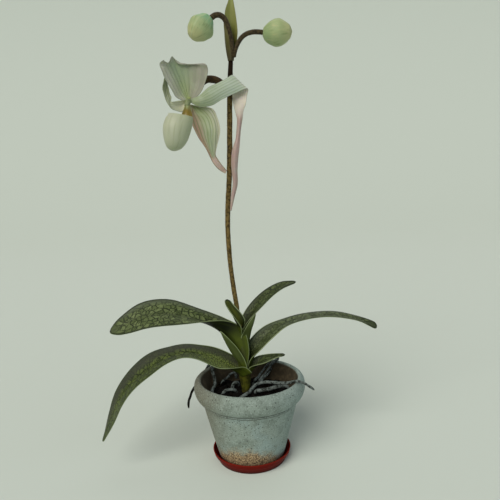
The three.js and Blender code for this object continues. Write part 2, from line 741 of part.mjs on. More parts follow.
// Bark mix: fills the pot from its floor, and its top is a field of tilted chips
function mixSolid() {
  const random = randomFrom(MIX.seed);
  const edge = potInside(MIX.level) - CLEAR - 0.2;
  const chips = Array.from({ length: MIX.chips }, () => {
    const turn = random() * 2 * Math.PI;
    const reach = Math.sqrt(random()) * edge;
    return {
      x: reach * Math.cos(turn),
      y: reach * Math.sin(turn),
      rise: (random() - 0.35) * MIX.chipRise,
      lean: [(random() - 0.5) * 2 * MIX.chipTilt, (random() - 0.5) * 2 * MIX.chipTilt],
    };
  });
  const surface = (x, y) => {
    let nearest = chips[0];
    for (const chip of chips) {
      if (Math.hypot(chip.x - x, chip.y - y) < Math.hypot(nearest.x - x, nearest.y - y)) {
        nearest = chip;
      }
    }
    const slope = nearest.lean[0] * (x - nearest.x) + nearest.lean[1] * (y - nearest.y);
    return MIX.level + MIX.fall * (0.5 - Math.hypot(x, y) / edge) + nearest.rise + slope;
  };
  const floor = POT.innerFoot + CLEAR + 0.4;
  const points = [new THREE.Vector3(0, 0, floor)];
  const ring = (radius, height) => {
    for (let k = 0; k < MIX.sides; k += 1) {
      const turn = (2 * Math.PI * k) / MIX.sides;
      const [x, y] = [radius * Math.cos(turn), radius * Math.sin(turn)];
      points.push(new THREE.Vector3(x, y, height ?? surface(x, y)));
    }
  };
  ring(potInside(floor) - CLEAR - 0.2, floor);
  ring(edge - 0.8, MIX.level - 3);
  for (let i = MIX.rings; i > 0; i -= 1) {
    ring((edge - 1) * (i / MIX.rings));
  }
  points.push(new THREE.Vector3(0, 0, surface(0, 0)));
  const rings = MIX.rings + 2;
  const top = points.length - 1;
  const triangles = [];
  for (let k = 0; k < MIX.sides; k += 1) {
    const next = (k + 1) % MIX.sides;
    triangles.push([0, 1 + next, 1 + k]);
    for (let i = 0; i + 1 < rings; i += 1) {
      const low = 1 + i * MIX.sides;
      const high = low + MIX.sides;
      triangles.push([low + k, low + next, high + next], [low + k, high + next, high + k]);
    }
    const last = 1 + (rings - 1) * MIX.sides;
    triangles.push([last + k, last + next, top]);
  }
  return solidOf(closedGeometry(points, triangles));
}

// Bud: a rounded egg along its axis, pinched where the sepals meet
function budSolid(bud, grow = 0) {
  const ball = new THREE.SphereGeometry(1, BUD.sides, BUD.rings);
  ball.deleteAttribute('normal');
  ball.deleteAttribute('uv');
  const egg = mergeVertices(ball, 1e-4);
  const position = egg.attributes.position;
  const turn = new THREE.Quaternion().setFromUnitVectors(
    new THREE.Vector3(0, 1, 0),
    new THREE.Vector3(...bud.axis).normalize(),
  );
  const points = [];
  for (let i = 0; i < position.count; i += 1) {
    const p = new THREE.Vector3().fromBufferAttribute(position, i);
    const around = Math.atan2(p.z, p.x);
    const spread = (2 * Math.PI) / BUD.seams;
    const off = Math.abs(((around + 2 * Math.PI) % spread) - spread / 2);
    const seam = 1 - BUD.seamDepth * Math.exp(-((off / BUD.seamWidth) ** 2));
    const slim = 1 - BUD.slope * p.y ** 2 * (1 - p.y ** 2);
    const taper = (1 - BUD.tipPull * p.y) * seam * slim;
    p.set((p.x * taper * bud.width) / 2, (p.y * bud.length) / 2, (p.z * taper * bud.width) / 2);
    p.setLength(p.length() + grow);
    points.push(p.applyQuaternion(turn).add(new THREE.Vector3(...bud.centre)));
  }
  const index = egg.index.array;
  const triangles = [];
  for (let i = 0; i < index.length; i += 3) {
    if (index[i] !== index[i + 1] && index[i + 1] !== index[i + 2] && index[i + 2] !== index[i]) {
      triangles.push([index[i], index[i + 1], index[i + 2]]);
    }
  }
  return solidOf(closedGeometry(points, triangles));
}

// Pouch: an open slipper with an inner wall, and the claw that ties it to the column
function pouchSolid(grow = 0) {
  const heart = new THREE.Vector3(...HEART);
  const tilt = THREE.MathUtils.degToRad(POUCH.tilt);
  const points = [];
  const ring = ([x, y, z, across, deep], inset) => {
    for (let k = 0; k < POUCH.sides; k += 1) {
      const turn = (2 * Math.PI * k) / POUCH.sides;
      const [wide, depth] = [across + inset, deep + inset];
      const lean = Math.cos(turn) * wide * Math.sin(tilt);
      const place = new THREE.Vector3(x + Math.cos(turn) * wide, y + Math.sin(turn) * depth, z - lean);
      points.push(place.add(heart));
    }
  };
  const outer = POUCH.rings;
  const inner = POUCH.rings.slice(2).reverse();
  points.push(heart.clone().add(new THREE.Vector3(outer[0][0], outer[0][1], outer[0][2] - 0.4 - grow)));
  outer.forEach((r) => ring(r, grow));
  inner.forEach((r) => ring(r, -POUCH.wall - grow));
  const last = inner[inner.length - 1];
  points.push(heart.clone().add(new THREE.Vector3(last[0], last[1], last[2] - 1 + grow)));
  const rings = outer.length + inner.length;
  const end = points.length - 1;
  const triangles = [];
  for (let k = 0; k < POUCH.sides; k += 1) {
    const next = (k + 1) % POUCH.sides;
    triangles.push([0, 1 + next, 1 + k]);
    for (let i = 0; i + 1 < rings; i += 1) {
      const low = 1 + i * POUCH.sides;
      const high = low + POUCH.sides;
      triangles.push([low + k, low + next, high + next], [low + k, high + next, high + k]);
    }
    const final = 1 + (rings - 1) * POUCH.sides;
    triangles.push([final + k, final + next, end]);
  }
  const slipper = solidOf(closedGeometry(points, triangles));
  const claw = rowsSheet({ rows: fromHeart(POUCH.claw), steps: 6, columns: 4 }, POUCH.wall, grow);
  return slipper.add(claw);
}

// Column: the short peg in the middle of the flower, with its shield in front
function columnSolid(grow = 0) {
  const peg = rodSolid({ ...COLUMN, path: fromHeart([COLUMN.path])[0], sides: 10, steps: 4 }, grow);
  const shield = rowsSheet({ rows: fromHeart(COLUMN.shield), steps: 6, columns: 4 }, COLUMN.thick, grow);
  return peg.add(shield);
}

// Rows given from the heart of the flower, moved to their place on the plant
function fromHeart(rows) {
  return rows.map((row) => row.map((p) => p.map((value, axis) => value + HEART[axis])));
}

// Cut a piece clear of the pieces that were made before it and keep its largest body
function clearOf(solid, neighbours) {
  let rest = solid;
  const box = solid.boundingBox();
  for (const other of neighbours) {
    const near = other.boundingBox();
    if ([0, 1, 2].every((axis) => box.min[axis] < near.max[axis] && box.max[axis] > near.min[axis])) {
      rest = rest.subtract(other);
    }
  }
  const bodies = rest.decompose().sort((a, b) => b.volume() - a.volume());
  return bodies[0];
}

const finishes = Object.fromEntries(Object.entries(FINISH).map(([name, [color, roughness]]) => {
  const material = new THREE.MeshStandardMaterial({ name, color, roughness, metalness: 0 });
  return [name, material];
}));

// Mesh in a group that stands at its own place
function addPiece(group, name, solid, finish) {
  const geometry = geometryOf(solid);
  geometry.translate(-group.position.x, -group.position.y, -group.position.z);
  const mesh = new THREE.Mesh(geometry, finishes[finish].clone());
  mesh.name = name;
  group.add(mesh);
}

const orchid = new THREE.Group();
const planter = new THREE.Group();
const rootGroup = new THREE.Group();
const foliage = new THREE.Group();
const spike = new THREE.Group();
const flower = new THREE.Group();
flower.position.set(...HEART);
orchid.add(planter, rootGroup, foliage, spike, flower);

// Planter and roots
const crownGrown = rodSolid(CROWN, CLEAR);
const potGrown = potSolid(CLEAR);
const rootsGrown = [];
addPiece(planter, 'saucer', saucerSolid(), 'saucer_plastic');
addPiece(planter, 'pot', potSolid(), 'weathered_clay');
addPiece(foliage, 'crown', rodSolid(CROWN), 'crown_green');
for (const root of ROOTS) {
  const shape = { ...root, sides: ROOT_SIDES, steps: Math.round(1.6 * root.path.length) };
  const solid = clearOf(rodSolid(shape), [crownGrown, potGrown, ...rootsGrown]);
  rootsGrown.push(rodSolid(shape, CLEAR));
  addPiece(rootGroup, root.name, solid, 'root_grey');
}
addPiece(planter, 'potting_mix', clearOf(mixSolid(), [crownGrown, ...rootsGrown]), 'bark');

// Leaves, from the outermost to the innermost
const stemGrown = rodSolid(STEM, CLEAR);
const leavesGrown = [crownGrown, stemGrown];
for (const leaf of LEAVES) {
  addPiece(foliage, leaf.name, clearOf(leafSolid(leaf), leavesGrown), 'leaf_green');
  leavesGrown.push(leafSolid(leaf, CLEAR));
}

// Stem, buds and bract
addPiece(spike, 'flower_stem', rodSolid(STEM), 'stem_brown');
const spikeGrown = [stemGrown];
for (const bud of BUDS) {
  const stalk = { path: bud.stalk, radius: bud.stalkRadius, sides: 9, steps: 12 };
  const budGrown = budSolid(bud, CLEAR);
  addPiece(spike, `${bud.name}_stalk`, clearOf(rodSolid(stalk), [...spikeGrown, budGrown]), 'stem_brown');
  addPiece(spike, bud.name, budSolid(bud), 'bud_green');
  spikeGrown.push(rodSolid(stalk, CLEAR), budGrown);
}
for (const bract of BRACTS) {
  const shape = { ...bract, columns: BRACT.columns };
  addPiece(spike, bract.name, clearOf(rowsSheet(shape, BRACT.thick), spikeGrown), 'bract_green');
  spikeGrown.push(rowsSheet(shape, BRACT.thick, CLEAR));
}

// Flower
const flowerStalk = { ...FLOWER_STALK, path: fromHeart([FLOWER_STALK.path])[0] };
const flowerGrown = [stemGrown];
addPiece(flower, 'flower_stalk', clearOf(rodSolid(flowerStalk), flowerGrown), 'stem_brown');
flowerGrown.push(rodSolid(flowerStalk, CLEAR));
addPiece(flower, 'staminode', clearOf(columnSolid(), flowerGrown), 'staminode_olive');
flowerGrown.push(columnSolid(CLEAR));
addPiece(flower, 'pouch', clearOf(pouchSolid(), flowerGrown), 'pouch_cream');
flowerGrown.push(pouchSolid(CLEAR));
for (const segment of SEGMENTS) {
  const shape = { ...segment, rows: fromHeart(segment.rows) };
  const finish = segment.name.startsWith('petal') ? 'petal_pale' : 'sepal_pale';
  addPiece(flower, segment.name, clearOf(rowsSheet(shape, SEGMENT_THICK), flowerGrown), finish);
  flowerGrown.push(rowsSheet(shape, SEGMENT_THICK, CLEAR));
}

export default orchid;
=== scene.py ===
"""A slipper orchid in flower, in bark mix in a weathered clay pot that stands on a plastic saucer.

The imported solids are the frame. Each piece here stands for one of them and keeps its form and place.
Sizes are in millimetres, and are turned to metres where a mesh is made.
"""

from __future__ import annotations

import logging
import math
import random
from dataclasses import dataclass, replace
from enum import Enum
from typing import Any, Callable, Sequence

import bmesh
import bpy
import numpy as np
from mathutils import Matrix, Vector, noise

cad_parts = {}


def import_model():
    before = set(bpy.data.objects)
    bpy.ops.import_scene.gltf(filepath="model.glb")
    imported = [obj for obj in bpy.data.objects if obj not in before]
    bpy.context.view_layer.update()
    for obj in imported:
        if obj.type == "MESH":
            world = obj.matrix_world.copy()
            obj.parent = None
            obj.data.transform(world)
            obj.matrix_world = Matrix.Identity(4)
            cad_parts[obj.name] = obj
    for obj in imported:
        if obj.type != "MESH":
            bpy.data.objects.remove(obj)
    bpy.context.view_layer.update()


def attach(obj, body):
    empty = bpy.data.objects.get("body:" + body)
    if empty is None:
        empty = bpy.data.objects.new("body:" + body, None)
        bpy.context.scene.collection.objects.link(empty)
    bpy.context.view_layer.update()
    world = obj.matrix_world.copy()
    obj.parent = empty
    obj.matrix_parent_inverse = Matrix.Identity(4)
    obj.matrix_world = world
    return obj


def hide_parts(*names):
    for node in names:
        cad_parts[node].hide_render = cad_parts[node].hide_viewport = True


log = logging.getLogger("orchid")

Point = tuple[float, float, float]
Points = Sequence[Point]
Array = np.ndarray
Tree = bpy.types.NodeTree
Material = bpy.types.Material
Object = bpy.types.Object

MM = 0.001

# Points nearer each other than this, in metres, are one
WELD = 1e-6

# Light spreads 2 mm into soft tissue, and green light farthest
GLOW_REACH_MM = 2.0
GLOW_TINT = (0.8, 1.0, 0.4)
COAT_ROUGHNESS = 0.3


class Side(Enum):
    """Which way a leaf leans from the crown, seen from the front."""

    LEFT = -1
    RIGHT = 1


# Colour and nodes


def linear(colour: str) -> tuple[float, float, float, float]:
    """Turns an sRGB hex colour to linear light.

    Args:
        colour: Six hex digits, such as "a0b0c0".

    Returns:
        Red, green, blue and an alpha of 1.
    """
    parts = [int(colour[i : i + 2], 16) / 255 for i in (0, 2, 4)]
    light = [p / 12.92 if p <= 0.04045 else ((p + 0.055) / 1.055) ** 2.4 for p in parts]
    return (light[0], light[1], light[2], 1.0)


def add(tree: Tree, kind: str, inputs: dict[Any, Any], **settings: Any) -> Any:
    """Adds a node to a tree.

    Args:
        tree: The tree that gets the node.
        kind: The node's type, without the word that all shader nodes start with.
        inputs: Numbers, hex colours or outputs, by the name or number of the input that takes them.
        settings: Properties of the node.

    Returns:
        The new node.
    """
    made = tree.nodes.new(f"ShaderNode{kind}")
    for name, value in settings.items():
        setattr(made, name, value)
    for key, value in inputs.items():
        if isinstance(value, bpy.types.NodeSocket):
            tree.links.new(value, made.inputs[key])
        else:
            made.inputs[key].default_value = linear(value) if isinstance(value, str) else value
    return made


def overlay(
    tree: Tree, under: Any, over: Any, value: Any, low: float, high: float, share: float = 1.0
) -> Any:
    """Lays one colour over another where a value passes from low to high.

    Args:
        tree: The material's tree.
        under: The colour below, as a hex colour or an output.
        over: The colour on top, as a hex colour or an output.
        value: The output that decides where.
        low: Where the top colour begins to show.
        high: Where it shows most, below low if it shows where the value is small.
        share: How much it covers there.

    Returns:
        The colour output.
    """
    bounds = {"Value": value, "From Min": low, "From Max": high, "To Max": share}
    cover = add(tree, "MapRange", bounds, interpolation_type="SMOOTHSTEP").outputs["Result"]
    return add(tree, "Mix", {0: cover, 6: under, 7: over}, data_type="RGBA").outputs[2]


@dataclass(frozen=True)
class Finish:
    """What all finishes share: a name and the shine of the surface."""

    name: str
    roughness: float = 0.5
    ior: float = 1.45
    subsurface: float = 0.0
    coat: float = 0.0
    sheen: float = 0.0
    bump: float = 0.3
    bump_mm: float = 0.2

    def start(self) -> tuple[Material, Tree, Any]:
        """Makes the material with its shader.

        Returns:
            The material, its tree and its shader node.
        """
        material = bpy.data.materials.new(self.name)
        material.use_nodes = True
        tree = material.node_tree
        tree.nodes.clear()
        values = {
            "Roughness": self.roughness,
            "IOR": self.ior,
            "Subsurface Weight": self.subsurface,
            "Subsurface Scale": GLOW_REACH_MM * MM,
            "Subsurface Radius": GLOW_TINT,
            "Coat Weight": self.coat,
            "Coat Roughness": COAT_ROUGHNESS,
            "Sheen Weight": self.sheen,
        }
        shader = add(tree, "BsdfPrincipled", values)
        add(tree, "OutputMaterial", {"Surface": shader.outputs[0]})
        return material, tree, shader

    def dress(self, tree: Tree, shader: Any, colour: Any, height: Any) -> None:
        """Gives the shader its colour and its relief.

        Args:
            tree: The material's tree.
            shader: Its shader node.
            colour: The output that holds the colour.
            height: The output that holds the height, from 0 to 1.
        """
        tree.links.new(colour, shader.inputs["Base Color"])
        values = {"Strength": self.bump, "Distance": self.bump_mm * MM, "Height": height}
        tree.links.new(add(tree, "Bump", values).outputs[0], shader.inputs["Normal"])


@dataclass(frozen=True)
class LeafFinish(Finish):
    """Living leaf: waxy skin with a dark net round mottled olive cells, and painted sheen and shade on its
    far half.
    """

    cell: str = "6c7a44"
    shade: str = "4b582a"
    net: str = "1c250a"
    # bloom is the colour of the painted sheen and shade on the far half
    bloom: str = "4d5543"
    foot: str = "55601f"
    groove: str = "2c3518"
    tip: str = "4a5533"
    edge: str = "8f9d72"
    rim: str = "232c14"
    sheen_and_shade_reach: tuple[float, float] = (-0.5, -0.92)
    foot_reach: tuple[float, float] = (0.30, -0.13)
    net_share: float = 0.9
    groove_share: float = 0.4
    cell_long_mm: float = 6.6
    cell_wide_mm: float = 4.6
    edge_mm: float = 0.9
    edge_reach: float = 0.3

    def cells_at(self, tree: Tree, span: Any, size: float) -> Any:
        """Lays the leaf out in cells, slightly bent.

        Args:
            tree: The material's tree.
            span: The place on the leaf in millimetres.
            size: How large the cells are, with 1 for the leaf's main cells.

        Returns:
            The place on the leaf in cells.
        """
        wobble = add(tree, "TexNoise", {"Vector": span, "Scale": 0.3, "Detail": 2.0}).outputs["Color"]
        bent = {0: wobble, 1: (3.0, 3.0, 0.0), 2: span}
        moved = add(tree, "VectorMath", bent, operation="MULTIPLY_ADD").outputs[0]
        scale = (1 / (self.cell_long_mm * size), 1 / (self.cell_wide_mm * size), 0.0)
        return add(tree, "VectorMath", {0: moved, 1: scale}, operation="MULTIPLY").outputs[0]

    def mottled(self, tree: Tree, span: Any, along: Any) -> Any:
        """Paints the cells and the net between them.

        Args:
            tree: The material's tree.
            span: The place on the leaf in millimetres.
            along: The share of the leaf's length.

        Returns:
            The colour and the distance to the net, in cells.
        """
        at, fine_at = self.cells_at(tree, span, 1.0), self.cells_at(tree, span, 0.55)
        flat, lines = {"voronoi_dimensions": "2D"}, {"feature": "DISTANCE_TO_EDGE"}
        tint = add(tree, "TexVoronoi", {"Vector": at, "Scale": 1.0}, **flat).outputs["Color"]
        wide = add(tree, "TexVoronoi", {"Vector": at, "Scale": 1.0}, **lines, **flat).outputs["Distance"]
        fine = add(tree, "TexVoronoi", {"Vector": fine_at, "Scale": 1.0}, **lines, **flat)
        patch = add(tree, "TexNoise", {"Vector": span, "Scale": 0.2, "Detail": 2.0}).outputs["Fac"]
        dash_at = add(tree, "VectorMath", {0: span, 1: (0.55, 1.7, 0.0)}, operation="MULTIPLY").outputs[0]
        dash = add(tree, "TexNoise", {"Vector": dash_at, "Scale": 1.0, "Detail": 2.0}).outputs["Fac"]
        colour = overlay(tree, self.cell, self.shade, tint, 0.3, 0.85)
        colour = overlay(tree, colour, self.shade, dash, 0.48, 0.7)
        colour = overlay(tree, colour, self.foot, along, *self.foot_reach)
        broken = overlay(tree, self.shade, self.net, patch, 0.3, 0.46)
        coarse = overlay(tree, colour, broken, wide, 0.2, 0.06)
        small = overlay(tree, colour, self.net, fine.outputs["Distance"], 0.17, 0.04)
        coarse = overlay(tree, coarse, small, patch, 0.5, 0.62)
        netted = {0: self.net_share, 6: colour, 7: overlay(tree, small, coarse, along, 0.16, 0.34)}
        return add(tree, "Mix", netted, data_type="RGBA").outputs[2], wide

    def build(self) -> Material:
        """Makes the material.

        Returns:
            The material.
        """
        material, tree, shader = self.start()
        place = add(tree, "Attribute", {}, attribute_name="place").outputs["Vector"]
        span = add(tree, "Attribute", {}, attribute_name="span").outputs["Vector"]
        along, across, edge = add(tree, "SeparateXYZ", {0: place}).outputs
        colour, cells = self.mottled(tree, span, along)
        # The tip is greyer, and the far half is plain under painted sheen and shade
        colour = overlay(tree, colour, self.tip, along, 0.9, 1.0)
        # The painted sheen is grey where it stands in for the bright wall reflected at a grazing angle
        colour = overlay(tree, colour, self.bloom, across, *self.sheen_and_shade_reach, 0.85)
        # A dark line lies in the groove over the rib, and a narrow dark rim round the blade
        off = add(tree, "Math", {0: across}, operation="ABSOLUTE").outputs[0]
        colour = overlay(tree, colour, self.groove, off, 0.22, 0.0, self.groove_share)
        colour = overlay(tree, colour, self.rim, edge, 2.8, 0.8)
        pale = overlay(tree, colour, self.edge, edge, self.edge_mm * 1.3, self.edge_mm * 0.6)
        colour = overlay(tree, colour, pale, along, self.edge_reach + 0.15, self.edge_reach)
        # Lengthwise veins about 1.3 mm apart, and cells that stand up slightly
        waves = {"Vector": span, "Scale": 0.75, "Distortion": 0.6, "Detail": 1.0}
        veins = add(tree, "TexWave", waves, bands_direction="Y").outputs["Fac"]
        height = add(tree, "Math", {0: cells, 1: 1.2, 2: veins}, operation="MULTIPLY_ADD").outputs[0]
        self.dress(tree, shader, colour, height)
        cloud = add(tree, "TexNoise", {"Vector": span, "Scale": 0.11, "Detail": 3.0}).outputs["Fac"]
        dull, bright = self.roughness + 0.08, self.roughness - 0.06
        bounds = {"Value": cloud, "From Min": 0.3, "From Max": 0.7, "To Min": bright, "To Max": dull}
        tree.links.new(add(tree, "MapRange", bounds).outputs["Result"], shader.inputs["Roughness"])
        return material


@dataclass(frozen=True)
class BladeFinish(Finish):
    """Plain living blade: colours that change along it, stripes that run with it, and a tinted edge."""

    foot: str = "8f9a66"
    middle: str = "a9b492"
    tip: str = "c0b8aa"
    stripe: str = "5d7443"
    edge: str = "b9a79d"
    near: str = "a9b492"
    far: str = "a9b492"
    fold: str = "a9b492"
    turn: tuple[float, float] = (0.0, 0.5)
    fold_reach: tuple[float, float] = (2.0, 3.0)
    end: tuple[float, float] = (0.6, 1.0)
    stripes: float = 9.0
    stripe_share: float = 0.5
    stripe_reach: tuple[float, float] = (0.9, 0.3)
    side_share: float = 0.0
    edge_mm: float = 1.0

    def build(self) -> Material:
        """Makes the material.

        Returns:
            The material.
        """
        material, tree, shader = self.start()
        place = add(tree, "Attribute", {}, attribute_name="place").outputs["Vector"]
        span = add(tree, "Attribute", {}, attribute_name="span").outputs["Vector"]
        along, across, edge = add(tree, "SeparateXYZ", {0: place}).outputs
        colour = overlay(tree, self.foot, self.middle, along, *self.turn)
        colour = overlay(tree, colour, self.near, across, 0.1, 0.8, self.side_share)
        colour = overlay(tree, colour, self.far, across, -0.1, -0.8, self.side_share)
        colour = overlay(tree, colour, self.fold, along, *self.fold_reach)
        colour = overlay(tree, colour, self.tip, along, *self.end)
        # Veins keep their place across the blade, so they fan out where it widens
        spread = (1.6, self.stripes / 3.18, 0.0)
        fan = add(tree, "VectorMath", {0: place, 1: spread}, operation="MULTIPLY").outputs[0]
        waves = {"Vector": fan, "Scale": 0.5, "Distortion": 2.6, "Detail": 3.0, "Detail Scale": 1.6}
        veins = add(tree, "TexWave", waves, bands_direction="Y").outputs["Fac"]
        streaks = add(tree, "TexNoise", {"Vector": fan, "Scale": 2.2, "Detail": 3.0}).outputs["Fac"]
        striped = overlay(tree, colour, self.stripe, veins, 0.55, 1.0)
        striped = overlay(tree, striped, self.stripe, streaks, 0.5, 0.9)
        colour = overlay(tree, colour, striped, along, *self.stripe_reach, self.stripe_share)
        colour = overlay(tree, colour, self.edge, edge, self.edge_mm, 0.1)
        cloud = add(tree, "TexNoise", {"Vector": span, "Scale": 0.12, "Detail": 3.0}).outputs["Fac"]
        colour = overlay(tree, colour, self.middle, cloud, 0.45, 0.75, 0.3)
        height = add(tree, "Math", {0: cloud, 1: 0.6, 2: veins}, operation="MULTIPLY_ADD").outputs[0]
        self.dress(tree, shader, colour, height)
        return material


@dataclass(frozen=True)
class StemFinish(Finish):
    """Stem or root skin: long fibres, patches of a second colour and a darker or paler end."""

    main: str = "6a5832"
    patch: str = "4a3c22"
    low_colour: str = "6b7238"
    high_colour: str = "2c2418"
    low: tuple[float, float] = (-1.0, -2.0)
    high: tuple[float, float] = (10.0, 11.0)
    patch_mm: float = 3.0
    fibre_mm: float = 0.8

    def build(self) -> Material:
        """Makes the material.

        Returns:
            The material.
        """
        material, tree, shader = self.start()
        spot = add(tree, "TexCoord", {}).outputs["Object"]
        patches = {"Vector": spot, "Scale": 1 / (self.patch_mm * MM), "Detail": 4.0, "Roughness": 0.6}
        patch = add(tree, "TexNoise", patches).outputs["Fac"]
        span = add(tree, "Attribute", {}, attribute_name="span").outputs["Vector"]
        stretch = (0.12 / self.fibre_mm, 1.0 / self.fibre_mm, 0.0)
        long = add(tree, "VectorMath", {0: span, 1: stretch}, operation="MULTIPLY").outputs[0]
        fibres = add(tree, "TexNoise", {"Vector": long, "Scale": 1.0, "Detail": 4.0}).outputs["Fac"]
        level = add(tree, "SeparateXYZ", {0: spot}).outputs[2]
        colour = overlay(tree, self.main, self.patch, patch, 0.4, 0.65)
        colour = overlay(tree, colour, self.patch, fibres, 0.5, 0.8)
        colour = overlay(tree, colour, self.low_colour, level, *self.low)
        colour = overlay(tree, colour, self.high_colour, level, *self.high)
        height = add(tree, "Math", {0: patch, 1: 0.5, 2: fibres}, operation="MULTIPLY_ADD").outputs[0]
        self.dress(tree, shader, colour, height)
        return material


@dataclass(frozen=True)
class ClayFinish(Finish):
    """Fired clay, weathered outside: a grey-green bloom of lime and algae over the brown body."""

    bloom: str = "87958c"
    bloom_dark: str = "76837a"
    cool: str = "8b9e9b"
    warm: str = "69634f"
    light: str = "a3b0a9"
    body: str = "38301f"
    body_pale: str = "564b35"
    crust: str = "b29b76"
    crust_brown: str = "5c4935"
    foot: str = "6b3a2c"
    speck: str = "3c423b"
    wall_mm: float = 30.7
    wall_slope: float = 0.257
    lip_mm: float = 95.6
    crust_mm: float = 33.0
    crust_side_mm: float = -5.0
    grooves_mm: tuple[float, float] = (70.4, 73.1)

    def build(self) -> Material:
        """Makes the material.

        Returns:
            The material.
        """
        material, tree, shader = self.start()
        spot = add(tree, "TexCoord", {}).outputs["Object"]
        x, y, z = add(tree, "SeparateXYZ", {0: spot}).outputs
        broad = add(tree, "TexNoise", {"Vector": spot, "Scale": 28.0, "Detail": 5.0}).outputs["Fac"]
        patches = {"Vector": spot, "Scale": 90.0, "Detail": 6.0, "Roughness": 0.65}
        patch = add(tree, "TexNoise", patches).outputs["Fac"]
        # Grains about 1.5 mm across, coarse enough to show at the picture's size
        grain = add(tree, "TexNoise", {"Vector": spot, "Scale": 780.0, "Detail": 3.0}).outputs["Fac"]
        pits = add(tree, "TexVoronoi", {"Vector": spot, "Scale": 240.0, "Randomness": 1.0})
        colour = overlay(tree, self.bloom, self.bloom_dark, patch, 0.45, 0.62)
        colour = overlay(tree, colour, self.cool, broad, 0.5, 0.72)
        # Painted shade and light on the sides: the left side darker and warmer, the right side cooler and
        # paler
        colour = overlay(tree, colour, self.warm, x, -0.015, -0.06, 0.8)
        colour = overlay(tree, colour, self.cool, x, 0.01, 0.06, 0.45)
        colour = overlay(tree, colour, self.light, grain, 0.54, 0.78)
        colour = overlay(tree, colour, self.speck, grain, 0.46, 0.2)
        colour = overlay(tree, colour, self.speck, pits.outputs["Distance"], 0.19, 0.1)
        # Painted shade lies in the grooves above and below the bead
        for level in self.grooves_mm:
            off = add(tree, "Math", {0: z, 1: level * MM}, operation="SUBTRACT").outputs[0]
            off = add(tree, "Math", {0: off}, operation="ABSOLUTE").outputs[0]
            colour = overlay(tree, colour, self.speck, off, 0.9 * MM, 0.1 * MM)
        # Salts that dried low on the front, over a reddish foot
        low = {0: z, 1: -1.0, 2: self.crust_mm * MM}
        drop = add(tree, "Math", low, operation="MULTIPLY_ADD").outputs[0]
        aside = add(tree, "Math", {0: x, 1: self.crust_side_mm * MM}, operation="SUBTRACT").outputs[0]
        sideways = add(tree, "Math", {0: aside, 1: aside}, operation="MULTIPLY").outputs[0]
        front = add(tree, "Math", {0: sideways, 1: -14.0, 2: drop}, operation="MULTIPLY_ADD").outputs[0]
        amount = add(tree, "Math", {0: patch, 1: 0.03, 2: front}, operation="MULTIPLY_ADD").outputs[0]
        grains = overlay(tree, self.crust_brown, self.crust, grain, 0.42, 0.60)
        grains = overlay(tree, grains, self.foot, z, 0.012, 0.005)
        crusted = overlay(tree, colour, grains, amount, 0.012, 0.026)
        colour = overlay(tree, colour, crusted, y, 0.0, -0.02)
        # Bare brown clay on the inner wall, painted dark for the shade inside the pot
        flat = add(tree, "VectorMath", {0: spot, 1: (1.0, 1.0, 0.0)}, operation="MULTIPLY").outputs[0]
        reach = add(tree, "VectorMath", {0: flat}, operation="LENGTH").outputs["Value"]
        sloped = {0: z, 1: -self.wall_slope, 2: reach}
        depth = add(tree, "Math", sloped, operation="MULTIPLY_ADD").outputs[0]
        brown = overlay(tree, self.body, self.body_pale, patch, 0.45, 0.7)
        inner = overlay(tree, colour, brown, depth, (self.wall_mm + 2.6) * MM, (self.wall_mm + 1.2) * MM)
        colour = overlay(tree, colour, inner, z, (self.lip_mm + 0.6) * MM, (self.lip_mm - 1.6) * MM)
        height = add(tree, "Math", {0: grain, 1: 0.6, 2: patch}, operation="MULTIPLY_ADD").outputs[0]
        self.dress(tree, shader, colour, height)
        return material


@dataclass(frozen=True)
class PlasticFinish(Finish):
    """Moulded polypropylene: one dyed colour, faint scuffs, a painted highlight on its lip and painted shade
    low down.
    """

    dye: str = "620b01"
    worn: str = "74170a"
    deep: str = "3c0a04"
    scuffed: float = 0.62

    def build(self) -> Material:
        """Makes the material.

        Returns:
            The material.
        """
        material, tree, shader = self.start()
        spot = add(tree, "TexCoord", {}).outputs["Object"]
        level = add(tree, "SeparateXYZ", {0: spot}).outputs[2]
        scuff_at = add(tree, "VectorMath", {0: spot, 1: (1.0, 1.0, 7.0)}, operation="MULTIPLY").outputs[0]
        scuff = add(tree, "TexNoise", {"Vector": scuff_at, "Scale": 120.0, "Detail": 5.0}).outputs["Fac"]
        colour = overlay(tree, self.dye, self.worn, scuff, 0.55, 0.85)
        # Painted highlight on the top of the lip, and painted shade inside the dish and round its foot
        colour = overlay(tree, colour, self.worn, level, 0.0112, 0.0128)
        colour = overlay(tree, colour, self.deep, level, 0.0065, 0.0)
        self.dress(tree, shader, colour, scuff)
        worn = {"Value": scuff, "From Min": 0.3, "From Max": 0.8}
        gloss = add(tree, "MapRange", {**worn, "To Min": self.roughness, "To Max": self.scuffed})
        tree.links.new(gloss.outputs["Result"], shader.inputs["Roughness"])
        return material


@dataclass(frozen=True)
class BarkFinish(Finish):
    """Damp composted bark with painted shade: nearly black, with a few browner chips and a fibrous grain."""

    dark: str = "0c0a08"
    brown: str = "1d150e"
    grey: str = "1a1a17"

    def build(self) -> Material:
        """Makes the material.

        Returns:
            The material.
        """
        material, tree, shader = self.start()
        spot = add(tree, "TexCoord", {}).outputs["Object"]
        patch = add(tree, "TexNoise", {"Vector": spot, "Scale": 130.0, "Detail": 3.0}).outputs["Fac"]
        fibre_at = add(tree, "VectorMath", {0: spot, 1: (1.0, 0.3, 1.6)}, operation="MULTIPLY").outputs[0]
        fibre = add(tree, "TexNoise", {"Vector": fibre_at, "Scale": 900.0, "Detail": 5.0}).outputs["Fac"]
        colour = overlay(tree, self.dark, self.brown, patch, 0.52, 0.72)
        colour = overlay(tree, colour, self.grey, fibre, 0.55, 0.8)
        self.dress(tree, shader, colour, fibre)
        return material


